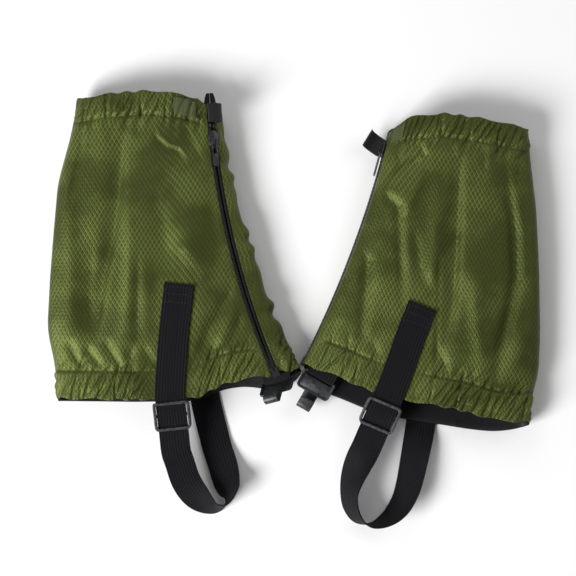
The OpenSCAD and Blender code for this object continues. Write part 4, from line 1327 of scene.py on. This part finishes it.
class GAITERS_OT_stage(bpy.types.Operator):
    """Pale floor, soft lights and the camera straight above the pair"""
    bl_idname = "gaiters.stage"
    bl_label = "Stage"

    def execute(self, context):
        props = context.scene.gaiter_settings
        scene = context.scene
        half, level = 3.0, -0.0004
        corners = [(x * half, y * half, level) for x, y in ((-1, -1), (1, -1), (1, 1), (-1, 1))]
        data = bpy.data.meshes.new("floor")
        data.from_pydata(corners, [], [(0, 1, 2, 3)])
        floor = bpy.data.objects.new("floor", data)
        floor.data.materials.append(look("floor_pale"))
        scene.collection.objects.link(floor)
        for name, where, size, power in (("key", (-1.5, -1.0, 1.3), 1.1, props.key_power),
                                         ("fill", (1.5, 0.9, 1.3), 1.5, props.key_power * 0.17),
                                         ("back", (-0.5, 1.8, 1.2), 1.3, props.key_power * 0.15)):
            light = bpy.data.lights.new(name, "AREA")
            light.energy, light.size = power, size
            lamp = bpy.data.objects.new(name, light)
            lamp.location = where
            lamp.rotation_mode = "QUATERNION"
            lamp.rotation_quaternion = (-lamp.location).to_track_quat("-Z", "Y")
            scene.collection.objects.link(lamp)
        world = bpy.data.worlds.new("studio")
        world.use_nodes = True
        world.node_tree.nodes["Background"].inputs[0].default_value = (1, 1, 1, 1)
        world.node_tree.nodes["Background"].inputs[1].default_value = props.room_light
        scene.world = world
        scene.view_settings.view_transform = "Standard"
        camera = bpy.data.cameras.new("camera")
        camera.sensor_width, camera.lens, camera.clip_end = 36, 180, 20
        seen = bpy.data.objects.new("camera", camera)
        seen.location = (-0.0051, 0.0186, 0.014 + 0.484 * camera.lens / 36)
        scene.collection.objects.link(seen)
        scene.camera = seen
        return {"FINISHED"}


class GaiterSettings(bpy.types.PropertyGroup):
    """Sizes and lights that can be changed before the pieces are built"""
    fold_height: bpy.props.FloatProperty(
        name="Fold height", default=1.6, min=0, max=2, description="Scale of the cloth's folds")
    pucker_depth: bpy.props.FloatProperty(
        name="Pucker depth", default=1.7, min=0, max=3, description="Scale of the gathers in the hems")
    cloth_rows: bpy.props.IntProperty(
        name="Cloth rows", default=260, min=60, max=300, description="Rows of each panel's mesh")
    tooth_pitch: bpy.props.FloatProperty(
        name="Coil pitch", default=1.3, min=1, max=3,
        description="Distance between coil turns, in millimetres")
    key_power: bpy.props.FloatProperty(
        name="Key light", default=74, min=0, max=500, description="Power of the key light, in watts")
    room_light: bpy.props.FloatProperty(
        name="Room light", default=0.15, min=0, max=5,
        description="Strength of the even light from all round")


class GAITERS_PT_panel(bpy.types.Panel):
    bl_label = "Gaiters"
    bl_space_type = "VIEW_3D"
    bl_region_type = "UI"
    bl_category = "Gaiters"

    def draw(self, context):
        for name in GaiterSettings.__annotations__:
            self.layout.prop(context.scene.gaiter_settings, name)
        for op in OPERATORS:
            self.layout.operator(op.bl_idname)


OPERATORS = (GAITERS_OT_stage, GAITERS_OT_zips, GAITERS_OT_tabs, GAITERS_OT_panels, GAITERS_OT_linings,
             GAITERS_OT_straps, GAITERS_OT_hardware)
CLASSES = (GaiterSettings, *OPERATORS, GAITERS_PT_panel)


def register():
    for cls in CLASSES:
        bpy.utils.register_class(cls)
    bpy.types.Scene.gaiter_settings = bpy.props.PointerProperty(type=GaiterSettings)


def unregister():
    del bpy.types.Scene.gaiter_settings
    for cls in reversed(CLASSES):
        bpy.utils.unregister_class(cls)


def main():
    register()
    bpy.ops.gaiters.stage()
    bpy.ops.gaiters.zips()
    bpy.ops.gaiters.tabs()
    bpy.ops.gaiters.panels()
    bpy.ops.gaiters.linings()
    bpy.ops.gaiters.straps()
    bpy.ops.gaiters.hardware()


if __name__ == "__main__":
    main()
